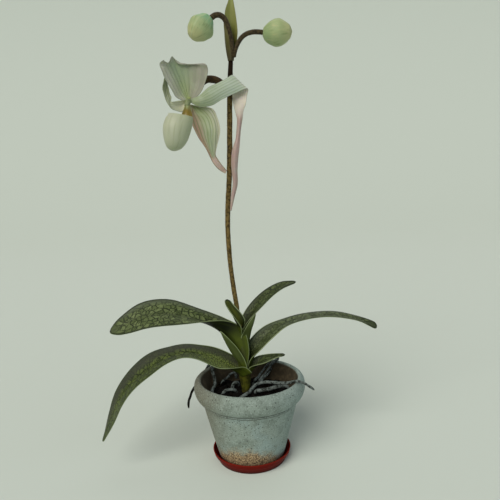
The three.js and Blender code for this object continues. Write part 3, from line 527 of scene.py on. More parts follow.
@dataclass(frozen=True)
class BudFinish(Finish):
    """Bud skin: thin pale green sepals, yellower on the lit side and bluer towards the stalk."""

    pale: str = "9aab7c"
    yellow: str = "b0b382"
    blue: str = "80b285"
    dark: str = "66784a"
    seam: str = "a5b387"

    def build(self) -> Material:
        """Makes the material.

        Returns:
            The material.
        """
        material, tree, shader = self.start()
        place = add(tree, "Attribute", {}, attribute_name="place").outputs["Vector"]
        along, _, seam = add(tree, "SeparateXYZ", {0: place}).outputs
        long = add(tree, "VectorMath", {0: place, 1: (1.3, 7.0, 0.0)}, operation="MULTIPLY").outputs[0]
        streak = add(tree, "TexNoise", {"Vector": long, "Scale": 2.4, "Detail": 4.0}).outputs["Fac"]
        colour = overlay(tree, self.blue, self.pale, along, 0.1, 0.55)
        colour = overlay(tree, colour, self.yellow, along, 0.55, 0.95)
        colour = overlay(tree, colour, self.yellow, streak, 0.5, 0.72)
        colour = overlay(tree, colour, self.dark, streak, 0.48, 0.22)
        colour = overlay(tree, colour, self.seam, seam, 0.5, 1.0)
        self.dress(tree, shader, colour, streak)
        return material


@dataclass(frozen=True)
class PouchFinish(Finish):
    """Pouch skin: firm and waxy, a pale greenish cream with faint netted veins, greener at the back."""

    cream: str = "b0b59c"
    green: str = "a6ad8d"
    vein: str = "868e6c"
    heart: Point = (0.0, 0.0, 0.0)

    def build(self) -> Material:
        """Makes the material.

        Returns:
            The material.
        """
        material, tree, shader = self.start()
        spot = add(tree, "TexCoord", {}).outputs["Object"]
        centred = {"Vector": spot, "Location": tuple(-value * MM for value in self.heart)}
        local = add(tree, "Mapping", centred).outputs[0]
        x, _, z = add(tree, "SeparateXYZ", {0: local}).outputs
        place = add(tree, "Attribute", {}, attribute_name="place").outputs["Vector"]
        long = add(tree, "VectorMath", {0: place, 1: (2.0, 9.0, 0.0)}, operation="MULTIPLY").outputs[0]
        veins = {"Vector": long, "Scale": 1.3, "Detail": 4.0, "Distortion": 0.4}
        vein = add(tree, "TexNoise", veins).outputs["Fac"]
        colour = overlay(tree, self.cream, self.green, x, -0.014, 0.006)
        colour = overlay(tree, colour, self.green, z, -0.036, -0.052)
        colour = overlay(tree, colour, self.vein, vein, 0.5, 0.75, 0.5)
        self.dress(tree, shader, colour, vein)
        return material


@dataclass(frozen=True)
class FloorFinish(Finish):
    """Matt painted board, pale and plain."""

    paint: str = "c3ccc4"

    def build(self) -> Material:
        """Makes the material.

        Returns:
            The material.
        """
        material, _, shader = self.start()
        shader.inputs["Base Color"].default_value = linear(self.paint)
        return material


# Paths and surfaces


def smooth(knots: Array, t: Array) -> Array:
    """Walks evenly spread knots along a smooth line.

    Args:
        knots: One row to a knot: a number, a point, or a point for each t.
        t: Where to read them, from 0 to 1.

    Returns:
        A number or a point for each t.
    """
    last = len(knots) - 1
    reach = np.clip(t, 0.0, 1.0) * last
    start = np.minimum(reach.astype(int), last - 1)
    own = (np.arange(len(t)),) if knots.ndim == 3 else ()
    a, b, c, d = (knots[(np.clip(start + k, 0, last), *own)] for k in (-1, 0, 1, 2))
    f = reach - start if knots.ndim == 1 else (reach - start)[:, None]
    bend = (2 * a - 5 * b + 4 * c - d) * f**2
    twist = (3 * b - a - 3 * c + d) * f**3
    return b + ((c - a) * f + bend + twist) / 2


def unit(vectors: Array) -> Array:
    """Scales each row to a length of 1."""
    return vectors / np.maximum(np.linalg.norm(vectors, axis=-1, keepdims=True), 1e-9)


class Rail:
    """A smooth path through given points, walked at an even pace."""

    STEPS = 60
    HEADING_STEP = 0.004

    def __init__(self, points: Points) -> None:
        """Draws the path.

        Args:
            points: The points, in millimetres.
        """
        knots = np.array(points, float)
        padded = np.vstack([2 * knots[0] - knots[1], knots, 2 * knots[-1] - knots[-2]])
        f = np.linspace(0.0, 1.0, self.STEPS, endpoint=False)[:, None]
        stretches = []
        for p0, p1, p2, p3 in zip(padded, padded[1:], padded[2:], padded[3:]):
            g0, g1, g2 = (math.sqrt(np.linalg.norm(b - a)) for a, b in ((p0, p1), (p1, p2), (p2, p3)))
            leave = ((p1 - p0) / g0 - (p2 - p0) / (g0 + g1) + (p2 - p1) / g1) * g1
            arrive = ((p2 - p1) / g1 - (p3 - p1) / (g1 + g2) + (p3 - p2) / g2) * g1
            square = -3 * p1 + 3 * p2 - 2 * leave - arrive
            cube = 2 * p1 - 2 * p2 + leave + arrive
            stretches.append(p1 + leave * f + square * f**2 + cube * f**3)
        self.line = np.vstack([*stretches, knots[-1:]])
        gaps = np.linalg.norm(np.diff(self.line, axis=0), axis=1)
        self.reach = np.concatenate([[0.0], np.cumsum(gaps)])
        self.length = float(self.reach[-1])

    def at(self, t: Array) -> Array:
        """Finds the point at each share of the path's length."""
        walked = np.asarray(t) * self.length
        return np.stack([np.interp(walked, self.reach, self.line[:, k]) for k in range(3)], axis=-1)

    def heading(self, t: Array) -> Array:
        """Finds which way the path runs at each share of its length."""
        ahead, behind = np.minimum(t + self.HEADING_STEP, 1.0), np.maximum(t - self.HEADING_STEP, 0.0)
        return unit(self.at(ahead) - self.at(behind))


@dataclass(frozen=True)
class Sheet:
    """A thin living blade. Along runs from 0 at its foot to 1 at its tip, across from -1 to 1."""

    # It thins over its last 4 mm. Its slopes are found over a step, and its sizes from samples
    THIN_MM = 4.0
    STEP = 0.01
    SAMPLES = 80

    name: str
    node: str
    slot: str
    rows: int = 60
    columns: int = 16
    thick_mm: float = 0.8
    edge_share: float = 0.5
    wave_mm: float = 0.0
    waves: float = 5.0
    pleat_mm: float = 0.0
    pleats: float = 6.0
    flipped: bool = False

    def point(self, along: Array, across: Array) -> Array:
        """Finds points of the blade's middle surface.

        Args:
            along: Shares of its length.
            across: Places across it.

        Returns:
            Points in millimetres.
        """
        raise NotImplementedError

    def relief(self, along: Array, across: Array) -> Array:
        """Finds how far the blade's waves and pleats lift it.

        Args:
            along: Shares of its length.
            across: Places across it.

        Returns:
            Heights in millimetres.
        """
        turn = 2 * math.pi
        edge = self.wave_mm * np.sin(turn * self.waves * along + 1.3 * np.sign(across)) * across**2
        pleat = self.pleat_mm * np.cos(turn * self.pleats * across / 2) * np.sin(math.pi * along) ** 0.5
        return edge * np.minimum(along * 4, 1.0) + pleat

    def measures(self, along: Array, across: Array) -> tuple[Array, Array]:
        """Finds the blade's real sizes.

        Args:
            along: Shares of its length.
            across: Places across it.

        Returns:
            Its length to each place, and its half width there.
        """
        steps = np.linspace(0.0, 1.0, self.SAMPLES)
        lines = [self.point(steps, np.full_like(steps, side)) for side in (-1.0, -0.5, 0.0, 0.5, 1.0)]
        spine = np.linalg.norm(np.diff(lines[2], axis=0), axis=1)
        walked = np.concatenate([[0.0], np.cumsum(spine)])
        wide = sum(np.linalg.norm(b - a, axis=1) for a, b in zip(lines, lines[1:])) / 2
        return np.interp(along, steps, walked), np.interp(along, steps, wide)

    def build(self, finishes: Sequence[Material]) -> None:
        """Makes the blade from a grid.

        Args:
            finishes: Materials of its upper side, its underside and its edge.
        """
        piece, along, across = grid(self.name, self.rows, self.columns)
        ahead, behind = np.minimum(along + self.STEP, 1), np.maximum(along - self.STEP, 0)
        near, far = np.minimum(across + self.STEP, 1), np.maximum(across - self.STEP, -1)
        east = self.point(ahead, across) - self.point(behind, across)
        north = self.point(along, near) - self.point(along, far)
        lift = unit(np.cross(east, north)) * self.relief(along, across)[:, None]
        write_points(piece, (self.point(along, across) + lift) * MM)
        walked, half = self.measures(along, across)
        edge = np.minimum((1 - np.abs(across)) * half, (1 - along) * walked.max())
        write_field(piece, "place", np.stack([along, across, edge], axis=1))
        write_field(piece, "span", np.stack([walked, across * half, np.zeros_like(along)], axis=1))
        if self.flipped:
            in_edit_mode(piece, bpy.ops.mesh.flip_normals)
        body = piece.vertex_groups.new(name="body")
        for index, value in enumerate(np.minimum(edge / self.THIN_MM, 1.0)):
            body.add([index], float(value), "REPLACE")
        for finish in finishes:
            piece.data.materials.append(finish)
        shell = {"thickness": self.thick_mm * MM, "offset": 0.0, "vertex_group": "body"}
        faces = {"material_offset": 1, "material_offset_rim": 2} if len(finishes) > 1 else {}
        finish_with(piece, "SOLIDIFY", thickness_vertex_group=self.edge_share, **shell, **faces)
        finish_with(piece, "SUBSURF", levels=1, render_levels=1)
        settle(piece, self.node)


@dataclass(frozen=True)
class RowSheet(Sheet):
    """A blade through rows of points that each run across it, and lie where the origin is moved to."""

    points: Sequence[Points] = ()
    origin: Point = (0.0, 0.0, 0.0)

    def point(self, along: Array, across: Array) -> Array:
        """Finds points of the blade's middle surface.

        Args:
            along: Shares of its length.
            across: Places across it.

        Returns:
            Points in millimetres.
        """
        knots = np.array(self.points, float) + np.array(self.origin)
        lines = [smooth(knots[:, k], along) for k in range(knots.shape[1])]
        return smooth(np.stack(lines), (across + 1) / 2)


@dataclass(frozen=True)
class Leaf(Sheet):
    """A strap leaf with a folded rib. half, roll and fold are spread evenly from its foot to its tip."""

    # Each half is bent in parts. The groove over the rib is this wide, and the blade swells a little
    PARTS = 14
    GROOVE = 0.08
    SWELL_MM = 0.35

    side: Side = Side.LEFT
    rib: Points = ()
    half: Sequence[float] = ()
    roll: Sequence[float] = ()
    fold: Sequence[float] = ()
    keel: Sequence[float] = (7.0, 3.2, 2.6)
    keel_mm: float = 0.5
    blunt_mm: float = 4.0

    def point(self, along: Array, across: Array) -> Array:
        """Finds points of the blade's middle surface.

        Args:
            along: Shares of its length.
            across: Places across it, with 1 at the edge nearer the viewer.

        Returns:
            Points in millimetres.
        """
        rail = Rail(self.rib)
        heading = rail.heading(along)
        front = unit(np.array([0.0, -1.0, 0.0]) + heading * heading[:, 1:2])
        up = np.cross(heading, front) * -self.side.value
        roll = np.radians(smooth(np.array(self.roll, float), along))[:, None]
        outward = front * np.cos(roll) - up * np.sin(roll)
        raised = up * np.cos(roll) + front * np.sin(roll)
        fold = np.radians(smooth(np.array(self.fold, float), along))
        soft = smooth(np.array(self.keel, float), np.minimum(along * 2, 1.0))
        left = np.clip((1 - along) * rail.length / self.blunt_mm, 0.01, 1.0)
        wide = smooth(np.array(self.half, float), along) * np.sqrt(1 - (1 - left) ** 2) * np.abs(across)
        out, rise = np.zeros_like(wide), np.zeros_like(wide)
        for part in range(self.PARTS):
            angle = fold * np.tanh(wide * (part + 0.5) / self.PARTS / soft)
            out += np.cos(angle) * wide / self.PARTS
            rise += np.sin(angle) * wide / self.PARTS
        return rail.at(along) + outward * (np.sign(across) * out)[:, None] + raised * rise[:, None]

    def relief(self, along: Array, across: Array) -> Array:
        """Finds how far the waves lift the blade and how deep the groove over its rib is.

        Args:
            along: Shares of its length.
            across: Places across it.

        Returns:
            Heights in millimetres.
        """
        groove = -self.keel_mm * np.exp(-((across / self.GROOVE) ** 2)) * np.sin(math.pi * along) ** 0.5
        swell = self.SWELL_MM * np.sin(9 * along + 4 * across) * np.minimum(along * 4, 1.0)
        return super().relief(along, across) + groove + swell


@dataclass(frozen=True)
class Rod:
    """A round stem, root or bud along a path, with its radius spread along it."""

    # Hairs: how many stand on a square millimetre, how thick they are and how deep they are set
    HAIRS_PER_MM2 = 0.4
    HAIR_MM = 0.07
    SET_MM = 0.15
    SEED = 3

    name: str
    node: str
    slot: str
    path: Points
    radius: Sequence[float]
    sides: int = 20
    rings: int = 60
    lump_mm: float = 0.1
    lump_length_mm: float = 6.0
    ridge: float = 0.0
    ridges: int = 3
    turn: float = 0.0
    round_mm: float = 1.2

    def off_ridge(self, around: Array) -> Array:
        """Finds how far round each place is from the nearest ridge, from -0.5 to 0.5."""
        return np.mod(around * self.ridges / 2 + self.turn, 1.0) - 0.5

    def profile(self, along: Array, around: Array, length: float) -> Array:
        """Finds the radius.

        Args:
            along: Shares of the length.
            around: Places round it, from -1 to 1.
            length: The whole length, in millimetres.

        Returns:
            Radii in millimetres.
        """
        base = smooth(np.array(self.radius, float), along)
        end = np.minimum(along, 1 - along) * length / self.round_mm
        rounded = np.sqrt(np.clip(1 - (1 - np.minimum(end, 1.0)) ** 2, 0.02, 1.0))
        return base * rounded * (1 + self.ridge * np.exp(-((self.off_ridge(around) / 0.12) ** 2)))

    def frame(self, along: Array, around: Array) -> tuple[Array, Array, Array]:
        """Finds places on the path and the ways out from it.

        Args:
            along: Shares of the length.
            around: Places round it, from -1 to 1.

        Returns:
            Points on the path, the ways along it, and the ways out from it.
        """
        rail = Rail(self.path)
        heading = rail.heading(np.linspace(0.0, 1.0, self.rings + 1))
        side = [unit(np.cross(heading[0], np.array([0.31, 0.17, 0.93])))]
        for way in heading[1:]:
            side.append(unit(side[-1] - way * np.dot(side[-1], way)))
        row = np.rint(along * self.rings).astype(int)
        first = np.array(side)[row]
        second = np.cross(heading[row], first)
        angle = (math.pi * around)[:, None]
        return rail.at(along), heading[row], first * np.cos(angle) + second * np.sin(angle)

    def down(self, finish: Material) -> None:
        """Makes the short hairs that stand on the rod: one thin spike, repeated and put in place.

        Args:
            finish: The hairs' material.
        """
        draw = np.random.default_rng(self.SEED)
        length = Rail(self.path).length
        count = int(self.HAIRS_PER_MM2 * length * 2 * math.pi * float(np.mean(self.radius)))
        deselect()
        bpy.ops.mesh.primitive_cone_add(vertices=3, radius1=1.0, radius2=0.0, depth=1.0)
        piece = bpy.context.object
        piece.name = f"{self.name}_down"
        finish_with(piece, "ARRAY", count=count, use_relative_offset=False)
        spikes = read_points(piece).reshape(count, -1, 3)
        along, around = draw.uniform(0.02, 0.97, count), draw.uniform(-1.0, 1.0, count)
        centre, way, out = self.frame(along, around)
        lean = unit(out + way * draw.uniform(-0.2, 0.5, count)[:, None])
        across = unit(np.cross(lean, way))
        tall = draw.uniform(0.5, 1.1, count)[:, None]
        axes = np.stack([across * self.HAIR_MM, np.cross(lean, across) * self.HAIR_MM, lean * tall], axis=1)
        skin = self.profile(along, around, length)[:, None]
        root = centre + out * (skin - self.SET_MM) + lean * tall / 2
        points = np.einsum("nij,njk->nik", spikes, axes) + root[:, None]
        write_points(piece, points.reshape(-1, 3) * MM)
        piece.data.materials.append(finish)
        settle(piece, "")

    def build(self, finish: Material) -> None:
        """Makes the rod from a grid that is rolled up and closed.

        Args:
            finish: Its material.
        """
        piece, along, around = grid(self.name, self.rings, self.sides)
        length = Rail(self.path).length
        centre, _, spoke = self.frame(along, around)
        size = self.profile(along, around, length)
        bumps = [noise.noise(Vector((c + s * 2) / self.lump_length_mm)) for c, s in zip(centre, spoke)]
        size = size + self.lump_mm * np.array(bumps) * np.minimum(size, 1.0)
        write_points(piece, (centre + spoke * size[:, None]) * MM)
        seam = np.exp(-((self.off_ridge(around) / 0.05) ** 2))
        write_field(piece, "place", np.stack([along, around, seam], axis=1))
        round_mm = around * math.pi * max(self.radius)
        write_field(piece, "span", np.stack([along * length, round_mm, np.zeros_like(along)], axis=1))
        in_edit_mode(piece, close_seams)
        piece.data.materials.append(finish)
        finish_with(piece, "SUBSURF", levels=1, render_levels=1)
        settle(piece, self.node)


# Helpers that act on an object


def deselect() -> None:
    """Leaves nothing selected, so that an operator acts on the new piece alone."""
    bpy.ops.object.select_all(action="DESELECT")


def grid(name: str, long: int, wide: int) -> tuple[Object, Array, Array]:
    """Adds a flat grid that is then bent to a shape.

    Args:
        name: The object's name.
        long: How many faces it has along its length.
        wide: How many it has across.

    Returns:
        The object, and its points' places along it, from 0 to 1, and across it, from -1 to 1.
    """
    deselect()
    bpy.ops.mesh.primitive_grid_add(x_subdivisions=long, y_subdivisions=wide, size=2)
    piece = bpy.context.object
    piece.name = name
    flat = read_points(piece)
    return piece, (flat[:, 0] + 1) / 2, flat[:, 1]


def read_points(piece: Object) -> Array:
    """Reads a mesh's points.

    Args:
        piece: The object.

    Returns:
        One row to a point.
    """
    flat = np.empty(len(piece.data.vertices) * 3)
    piece.data.vertices.foreach_get("co", flat)
    return flat.reshape(-1, 3)


def write_points(piece: Object, points: Array) -> None:
    """Moves a mesh's points.

    Args:
        piece: The object.
        points: One row to a point, in metres.
    """
    piece.data.vertices.foreach_set("co", points.ravel())
    piece.data.update()


def write_field(piece: Object, name: str, values: Array) -> None:
    """Stores three numbers at each point for the material to read.

    Args:
        piece: The object.
        name: The attribute's name.
        values: One row to a point.
    """
    layer = piece.data.attributes.new(name, "FLOAT_VECTOR", "POINT")
    layer.data.foreach_set("vector", values.astype(np.float32).ravel())


def in_edit_mode(piece: Object, action: Callable[[], Any]) -> None:
    """Runs a mesh operator on a whole piece.

    Args:
        piece: The object.
        action: What to run with everything selected.
    """
    bpy.context.view_layer.objects.active = piece
    bpy.ops.object.mode_set(mode="EDIT")
    bpy.ops.mesh.select_all(action="SELECT")
    action()
    bpy.ops.object.mode_set(mode="OBJECT")


def close_seams() -> None:
    """Joins the two edges that meet, fills what is open and turns the faces outwards."""
    bpy.ops.mesh.remove_doubles(threshold=WELD)
    bpy.ops.mesh.select_all(action="DESELECT")
    bpy.ops.mesh.select_mode(type="EDGE")
    other = {"use_wire": False, "use_multi_face": False, "use_non_contiguous": False}
    bpy.ops.mesh.select_non_manifold(extend=False, **other)
    bpy.ops.mesh.fill_holes(sides=0)
    bpy.ops.mesh.select_mode(type="VERT")
    bpy.ops.mesh.select_all(action="SELECT")
    bpy.ops.mesh.normals_make_consistent(inside=False)


def finish_with(piece: Object, kind: str, **settings: Any) -> None:
    """Adds a modifier and applies it.

    Args:
        piece: The object.
        kind: The modifier's type.
        settings: Its properties.
    """
    bpy.context.view_layer.objects.active = piece
    modifier = piece.modifiers.new(kind.lower(), kind)
    for name, value in settings.items():
        setattr(modifier, name, value)
    bpy.ops.object.modifier_apply(modifier=modifier.name)


def settle(piece: Object, node: str) -> None:
    """Puts a finished piece in the frame.

    Args:
        piece: The object, which sits at the origin.
        node: The solid that it stands for, or nothing where it goes with another piece.
    """
    deselect()
    piece.select_set(True)
    bpy.context.view_layer.objects.active = piece
    bpy.ops.object.transform_apply(location=True, rotation=True, scale=True)
    bpy.ops.object.shade_smooth()
    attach(piece, "root")
    if node:
        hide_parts(node)
    piece.data.name = piece.name
    log.info("%s: %d faces", piece.name, len(piece.data.polygons))


def turned(name: str, outline: Sequence[tuple[float, float]], sides: int) -> Object:
    """Raises a disc or an open ring through an outline, as on a potter's wheel.

    Args:
        name: The object's name.
        outline: Radius and height of each step. If it ends where it starts, the piece has a hole.
        sides: How many sides the rings have.

    Returns:
        The object, with its faces outwards.
    """
    (radius, height), *steps = outline
    fill = "NOTHING" if outline[0] == outline[-1] else "NGON"
    deselect()
    place = (0.0, 0.0, height * MM)
    bpy.ops.mesh.primitive_circle_add(vertices=sides, radius=radius * MM, fill_type=fill, location=place)
    piece = bpy.context.object
    piece.name = name
    bpy.ops.object.transform_apply(location=True, rotation=False, scale=False)
    bpy.ops.object.mode_set(mode="EDIT")
    bpy.ops.mesh.select_all(action="SELECT")
    for wide, high in steps:
        rise = {"value": (0.0, 0.0, (high - height) * MM)}
        bpy.ops.mesh.extrude_region_move(TRANSFORM_OT_translate=rise)
        scale = wide / radius
        bpy.ops.transform.resize(value=(scale, scale, 1.0), center_override=(0.0, 0.0, high * MM))
        radius, height = wide, high
    bpy.ops.mesh.select_all(action="SELECT")
    bpy.ops.mesh.remove_doubles(threshold=WELD)
    bpy.ops.mesh.normals_make_consistent(inside=False)
    bpy.ops.object.mode_set(mode="OBJECT")
    return piece


# Planter


@dataclass
class Planter:
    """The saucer, the pot that stands in it and the bark mix that fills the pot."""

    # The pot is thrown slightly unevenly: waves to the metre, and how deep they are in millimetres
    UNEVEN = ((22.0, 0.45), (90.0, 0.16))
    # The rings of the mix's top, as shares of its radius, how fine and deep its lumps are, and its sides
    MIX_RINGS = (0.98, 0.9, 0.8, 0.68, 0.55, 0.42, 0.3, 0.18, 0.06)
    MIX_LUMPS = (150.0, 2.2)
    MIX_SIDES = 96
    # The mix and its chips keep off the pot's wall, and a chip is this long, wide and thick at least and
    # at most, in millimetres
    MIX_GAP = 0.5
    CHIP_GAP = 5.0
    CHIP_MM = ((4.5, 11.0), (3.0, 7.0), (1.6, 3.4))

    sides: int = 160
    saucer_height: float = 13.0
    saucer_floor: float = 2.4
    foot_radius: float = 39.2
    lip_radius: float = 45.0
    pot_foot: float = 2.7
    pot_height: float = 97.0
    collar_low: float = 73.0
    collar_radius: float = 63.5
    mouth_radius: float = 55.0
    mouth_height: float = 94.6
    inner_foot_radius: float = 33.0
    inner_foot: float = 9.0
    drain_radius: float = 6.0
    mix_level: float = 75.0
    chips: int = 190
    seed: int = 7

    def inside(self, height: float) -> float:
        """Gives the radius of the pot's inner wall at a height."""
        share = (height - self.inner_foot) / (self.mouth_height - self.inner_foot)
        return self.inner_foot_radius + share * (self.mouth_radius - self.inner_foot_radius)

    def saucer(self) -> None:
        """Makes the saucer: a dish with a waist and a lip that stands proud."""
        foot, lip, top, floor = self.foot_radius, self.lip_radius, self.saucer_height, self.saucer_floor
        outline = [
            (foot - 3.0, 0.9), (foot - 2.0, 0.0), (foot - 0.6, 0.1), (foot, 0.8), (foot + 2.2, 6.3),
            (foot + 3.6, 7.2), (foot + 4.3, 7.8), (lip - 0.2, top - 0.9), (lip, top - 0.4), (lip - 0.5, top),
            (lip - 1.5, top - 0.3), (lip - 2.2, 8.2), (foot + 1.8, 6.8), (foot - 0.4, floor + 0.6),
            (foot - 1.6, floor), (foot * 0.5, floor),
        ]
        piece = turned("saucer_dish", outline, self.sides)
        finish_with(piece, "BEVEL", width=0.35 * MM, segments=2, limit_method="ANGLE")
        # Moulded polypropylene: an even deep red with a dull satin sheen, and a lip paler with a painted
        # highlight
        finish = PlasticFinish("moulded polypropylene, brick red", ior=1.18, bump=0.1, bump_mm=0.1)
        piece.data.materials.append(finish.build())
        settle(piece, "saucer")

    def pot(self) -> None:
        """Makes the pot: a straight taper under a rounded collar, thrown slightly unevenly."""
        low, high, belly = self.collar_low, self.pot_height, self.collar_radius
        mouth, foot, drain = self.mouth_radius, self.pot_foot, self.drain_radius
        outline = [
            (drain, foot), (30.0, foot), (36.2, foot), (37.3, foot + 0.9), (45.0, foot + 31.4),
            (53.9, low - 2.8), (54.3, low - 2.3), (55.4, low - 1.9), (56.0, low - 1.2), (55.8, low - 0.5),
            (55.3, low - 0.1), (56.0, low + 0.3), (58.4, low + 1.6), (60.6, low + 4.2), (62.2, low + 7.6),
            (63.2, low + 11.2), (belly, low + 14.6), (63.0, low + 18.0), (61.8, low + 21.2),
            (60.2, high - 1.2), (59.0, high - 0.25), (57.6, high), (56.2, high - 0.5),
            (mouth + 0.1, high - 2.2), (self.inside(84.0), 84.0), (self.inside(60.0), 60.0),
            (self.inner_foot_radius, self.inner_foot), (drain, self.inner_foot - 1.0), (drain, foot),
        ]
        piece = turned("clay_pot", outline, self.sides)
        finish_with(piece, "SUBSURF", levels=1, render_levels=1)
        points = read_points(piece)
        pull = [sum(noise.noise(Vector(p) * fine) * deep for fine, deep in self.UNEVEN) for p in points]
        away = unit(points * np.array([1.0, 1.0, 0.0]))
        write_points(piece, points + away * np.array(pull)[:, None] * MM)
        # Fired clay outdoors for years: dry, chalky and grained, so it has no highlight at all
        name = "fired clay with a lime and algae bloom"
        finish = ClayFinish(name, roughness=0.88, ior=1.5, bump=0.55, bump_mm=0.5)
        piece.data.materials.append(finish.build())
        settle(piece, "pot")

    def mix(self) -> None:
        """Makes the bark mix: a plug that fills the pot, and the chips that lie on it."""
        # Damp bark, painted darker for the shade in the pot: it drinks the light, and only a few raised
        # fibres catch any
        bark = BarkFinish("composted pine bark, damp", roughness=0.95, ior=1.2, bump=0.6, bump_mm=0.6)
        finish = bark.build()
        low, level = self.inner_foot + 0.7, self.mix_level
        wide = self.inside(level - 4.0) - self.MIX_GAP
        rings = [(wide * share, level - 1.0) for share in self.MIX_RINGS]
        wall = [(self.inside(low) - self.MIX_GAP, low), (wide, level - 4.0)]
        plug = turned("bark_bed", [*wall, *rings], self.MIX_SIDES)
        points = read_points(plug)
        top = points[:, 2] > (level - 2.0) * MM
        fine, deep = self.MIX_LUMPS
        lift = np.array([noise.noise(Vector(p) * fine) for p in points]) * deep * MM
        points[:, 2] += np.where(top, lift, 0.0)
        write_points(plug, points)
        plug.data.materials.append(finish)
        settle(plug, "potting_mix")
        self.loose_chips(finish)

    def loose_chips(self, finish: Material) -> None:
        """Scatters chips over the plug, each its own cut of bark.

        Args:
            finish: The bark's material.
        """
        draw = random.Random(self.seed)
        # Vector noise starts from the clock unless it has a seed, and would cut other chips in each run
        noise.seed_set(self.seed)
        deselect()
        bpy.ops.mesh.primitive_cube_add(size=1.0)
        chip = bpy.context.object
        in_edit_mode(chip, lambda: bpy.ops.mesh.subdivide(number_cuts=2, smoothness=0.3))
        shape = read_points(chip)
        copies = []
        for number in range(self.chips):
            turn = draw.uniform(0.0, 2 * math.pi)
            reach = (self.inside(self.mix_level) - self.CHIP_GAP) * math.sqrt(draw.random())
            spin = Matrix.Rotation(draw.uniform(0, 2 * math.pi), 3, "Z")
            tilt = Matrix.Rotation(draw.gauss(0.0, 0.35), 3, "X")
            tilt = tilt @ Matrix.Rotation(draw.gauss(0.0, 0.3), 3, "Y")
            size = [draw.uniform(low, high) for low, high in self.CHIP_MM]
            height = self.mix_level + draw.uniform(-1.6, 0.9)
            copy = chip.copy()
            copy.data = chip.data.copy()
            bpy.context.collection.objects.link(copy)
            rough = [noise.noise_vector(Vector(p) * 1.7 + Vector((number, 0, 0))) for p in shape]
            placed = (shape + np.array(rough) * 0.16) * np.array(size) @ np.array(spin @ tilt).T
            centre = np.array([reach * math.cos(turn), reach * math.sin(turn), height])
            write_points(copy, (placed + centre) * MM)
            copies.append(copy)
        bpy.data.objects.remove(chip)
        deselect()
        for copy in copies:
            copy.select_set(True)
        bpy.context.view_layer.objects.active = copies[0]
        bpy.ops.object.join()
        pile = bpy.context.object
        pile.name = "bark_chips"
        pile.data.materials.append(finish)
        settle(pile, "")

    def build(self) -> None:
        """Builds the saucer, the pot and the mix."""
        self.saucer()
        self.pot()
        self.mix()


# Roots


@dataclass
class Roots:
    """The bare grey roots that start in the mix, cross it or hang over the collar."""

    # The radius of each root from its start to its tip, and its path
    PATHS = {
        "root_over_right_rim": ((1.9, 2, 1.9, 1.7, 1.2), (
            (-16, -21, 74), (-10, -17, 79), (-2, -12, 81.4), (5, 1, 83.4), (11, 6, 85), (19, 5, 86.6),
            (29, -6, 90), (43, -20, 95), (50, -26, 99), (57, -29.4, 99.4), (64.4, -30, 95), (71, -28, 89),
        )),
        "root_right_front": ((2, 2.2, 2.3, 2.1, 1.8), (
            (4.6, -7.6, 73), (5.7, -5.4, 76), (7.2, -2.8, 79.4), (12.7, -5.4, 81.4), (20.7, -5.7, 82.4),
            (28.9, -3.2, 83.4), (35.8, -1.9, 84), (42.7, -2.3, 83.6), (46.4, -2.6, 80),
        )),
        "root_back_right": ((1.5, 1.5, 1.4, 1.2), (
            (3, 19, 75), (5.7, 22.2, 81), (10.1, 28.3, 83.6), (15.3, 36.7, 87), (20.6, 43, 91),
            (25.1, 45.7, 96),
        )),
        "root_back_middle": ((1.6, 1.6, 1.4, 1.6, 2, 1.8), (
            (9, 21.6, 75), (11.7, 24.7, 81), (16.2, 30.8, 83.6), (21.5, 38.4, 87), (25.4, 41.4, 91.4),
            (28.6, 40.6, 96), (33, 40.6, 99.4), (36.8, 41.7, 102),
        )),
        "root_back_outer": ((1.3, 1.4, 1.3, 1.1), (
            (12.4, 22.6, 75), (14.7, 25.9, 80.6), (19.9, 33.2, 82.8), (24.6, 40, 85.4), (27.4, 43, 88),
        )),
        "root_over_left_rim": ((1.9, 1.9, 1.9, 1.8, 1.7, 1.5, 1.2), (
            (-43, -1, 74), (-43.6, 6.9, 78.4), (-41.6, 13.7, 80.8), (-41.2, 20.7, 82.6),
            (-42.6, 24.5, 87.5), (-44, 26.6, 92.5), (-44.2, 30, 97.4), (-45, 36.4, 99.2),
            (-48.6, 39.8, 97), (-52.6, 39.4, 91), (-57, 36.6, 84), (-61.4, 31, 79), (-66, 24, 75.6),
            (-69, 18, 72.4), (-70.5, 14, 68.5), (-72.3, 12, 63.9), (-72.8, 11, 59.4), (-72.5, 11, 55),
        )),
        "root_back_left": ((1.3, 1.4, 1.2), (
            (-16.4, 44, 76), (-18.4, 44.8, 84), (-22.9, 42.5, 83.4), (-26.4, 35.8, 82),
            (-32.2, 28.8, 80.2), (-35, 25, 75),
        )),
        "root_stub": ((2, 2.1, 1.8), (
            (-21.4, 9.6, 75), (-20.4, 11.2, 79), (-19, 13.6, 81.5), (-16.6, 16.4, 82.6),
            (-14.2, 19.6, 80.6), (-13, 21.4, 76),
        )),
        "root_front_left": ((1.7, 1.8, 1.7), (
            (-33, -3.6, 74), (-31.6, -2.7, 77.4), (-28.5, -1.6, 80), (-23.9, -0.1, 81), (-20.5, 0.6, 80.8),
            (-17.2, 2.8, 78.8), (-15, 4.6, 74.6),
        )),
    }

    sides: int = 14
    rings: int = 64
    lump_mm: float = 0.5

    def build(self) -> None:
        """Builds every root with its own skin of dead grey cells."""
        # Velamen: dead spongy cells, dry and rough, that scatter light in grey streaks, painted dark near
        # the mix for the shade low in the pot
        finish = StemFinish(
            name="orchid root, silver velamen", roughness=0.9, ior=1.25, bump=0.7, bump_mm=0.4,
            main="737d7a", patch="21241f", low_colour="171612", low=(0.081, 0.074), patch_mm=3.2,
            fibre_mm=0.9,
        ).build()
        shape = {"sides": self.sides, "rings": self.rings, "lump_mm": self.lump_mm}
        for node, (radius, path) in self.PATHS.items():
            Rod(f"{node}_skin", node, "root_grey", path, radius, **shape).build(finish)


# Foliage


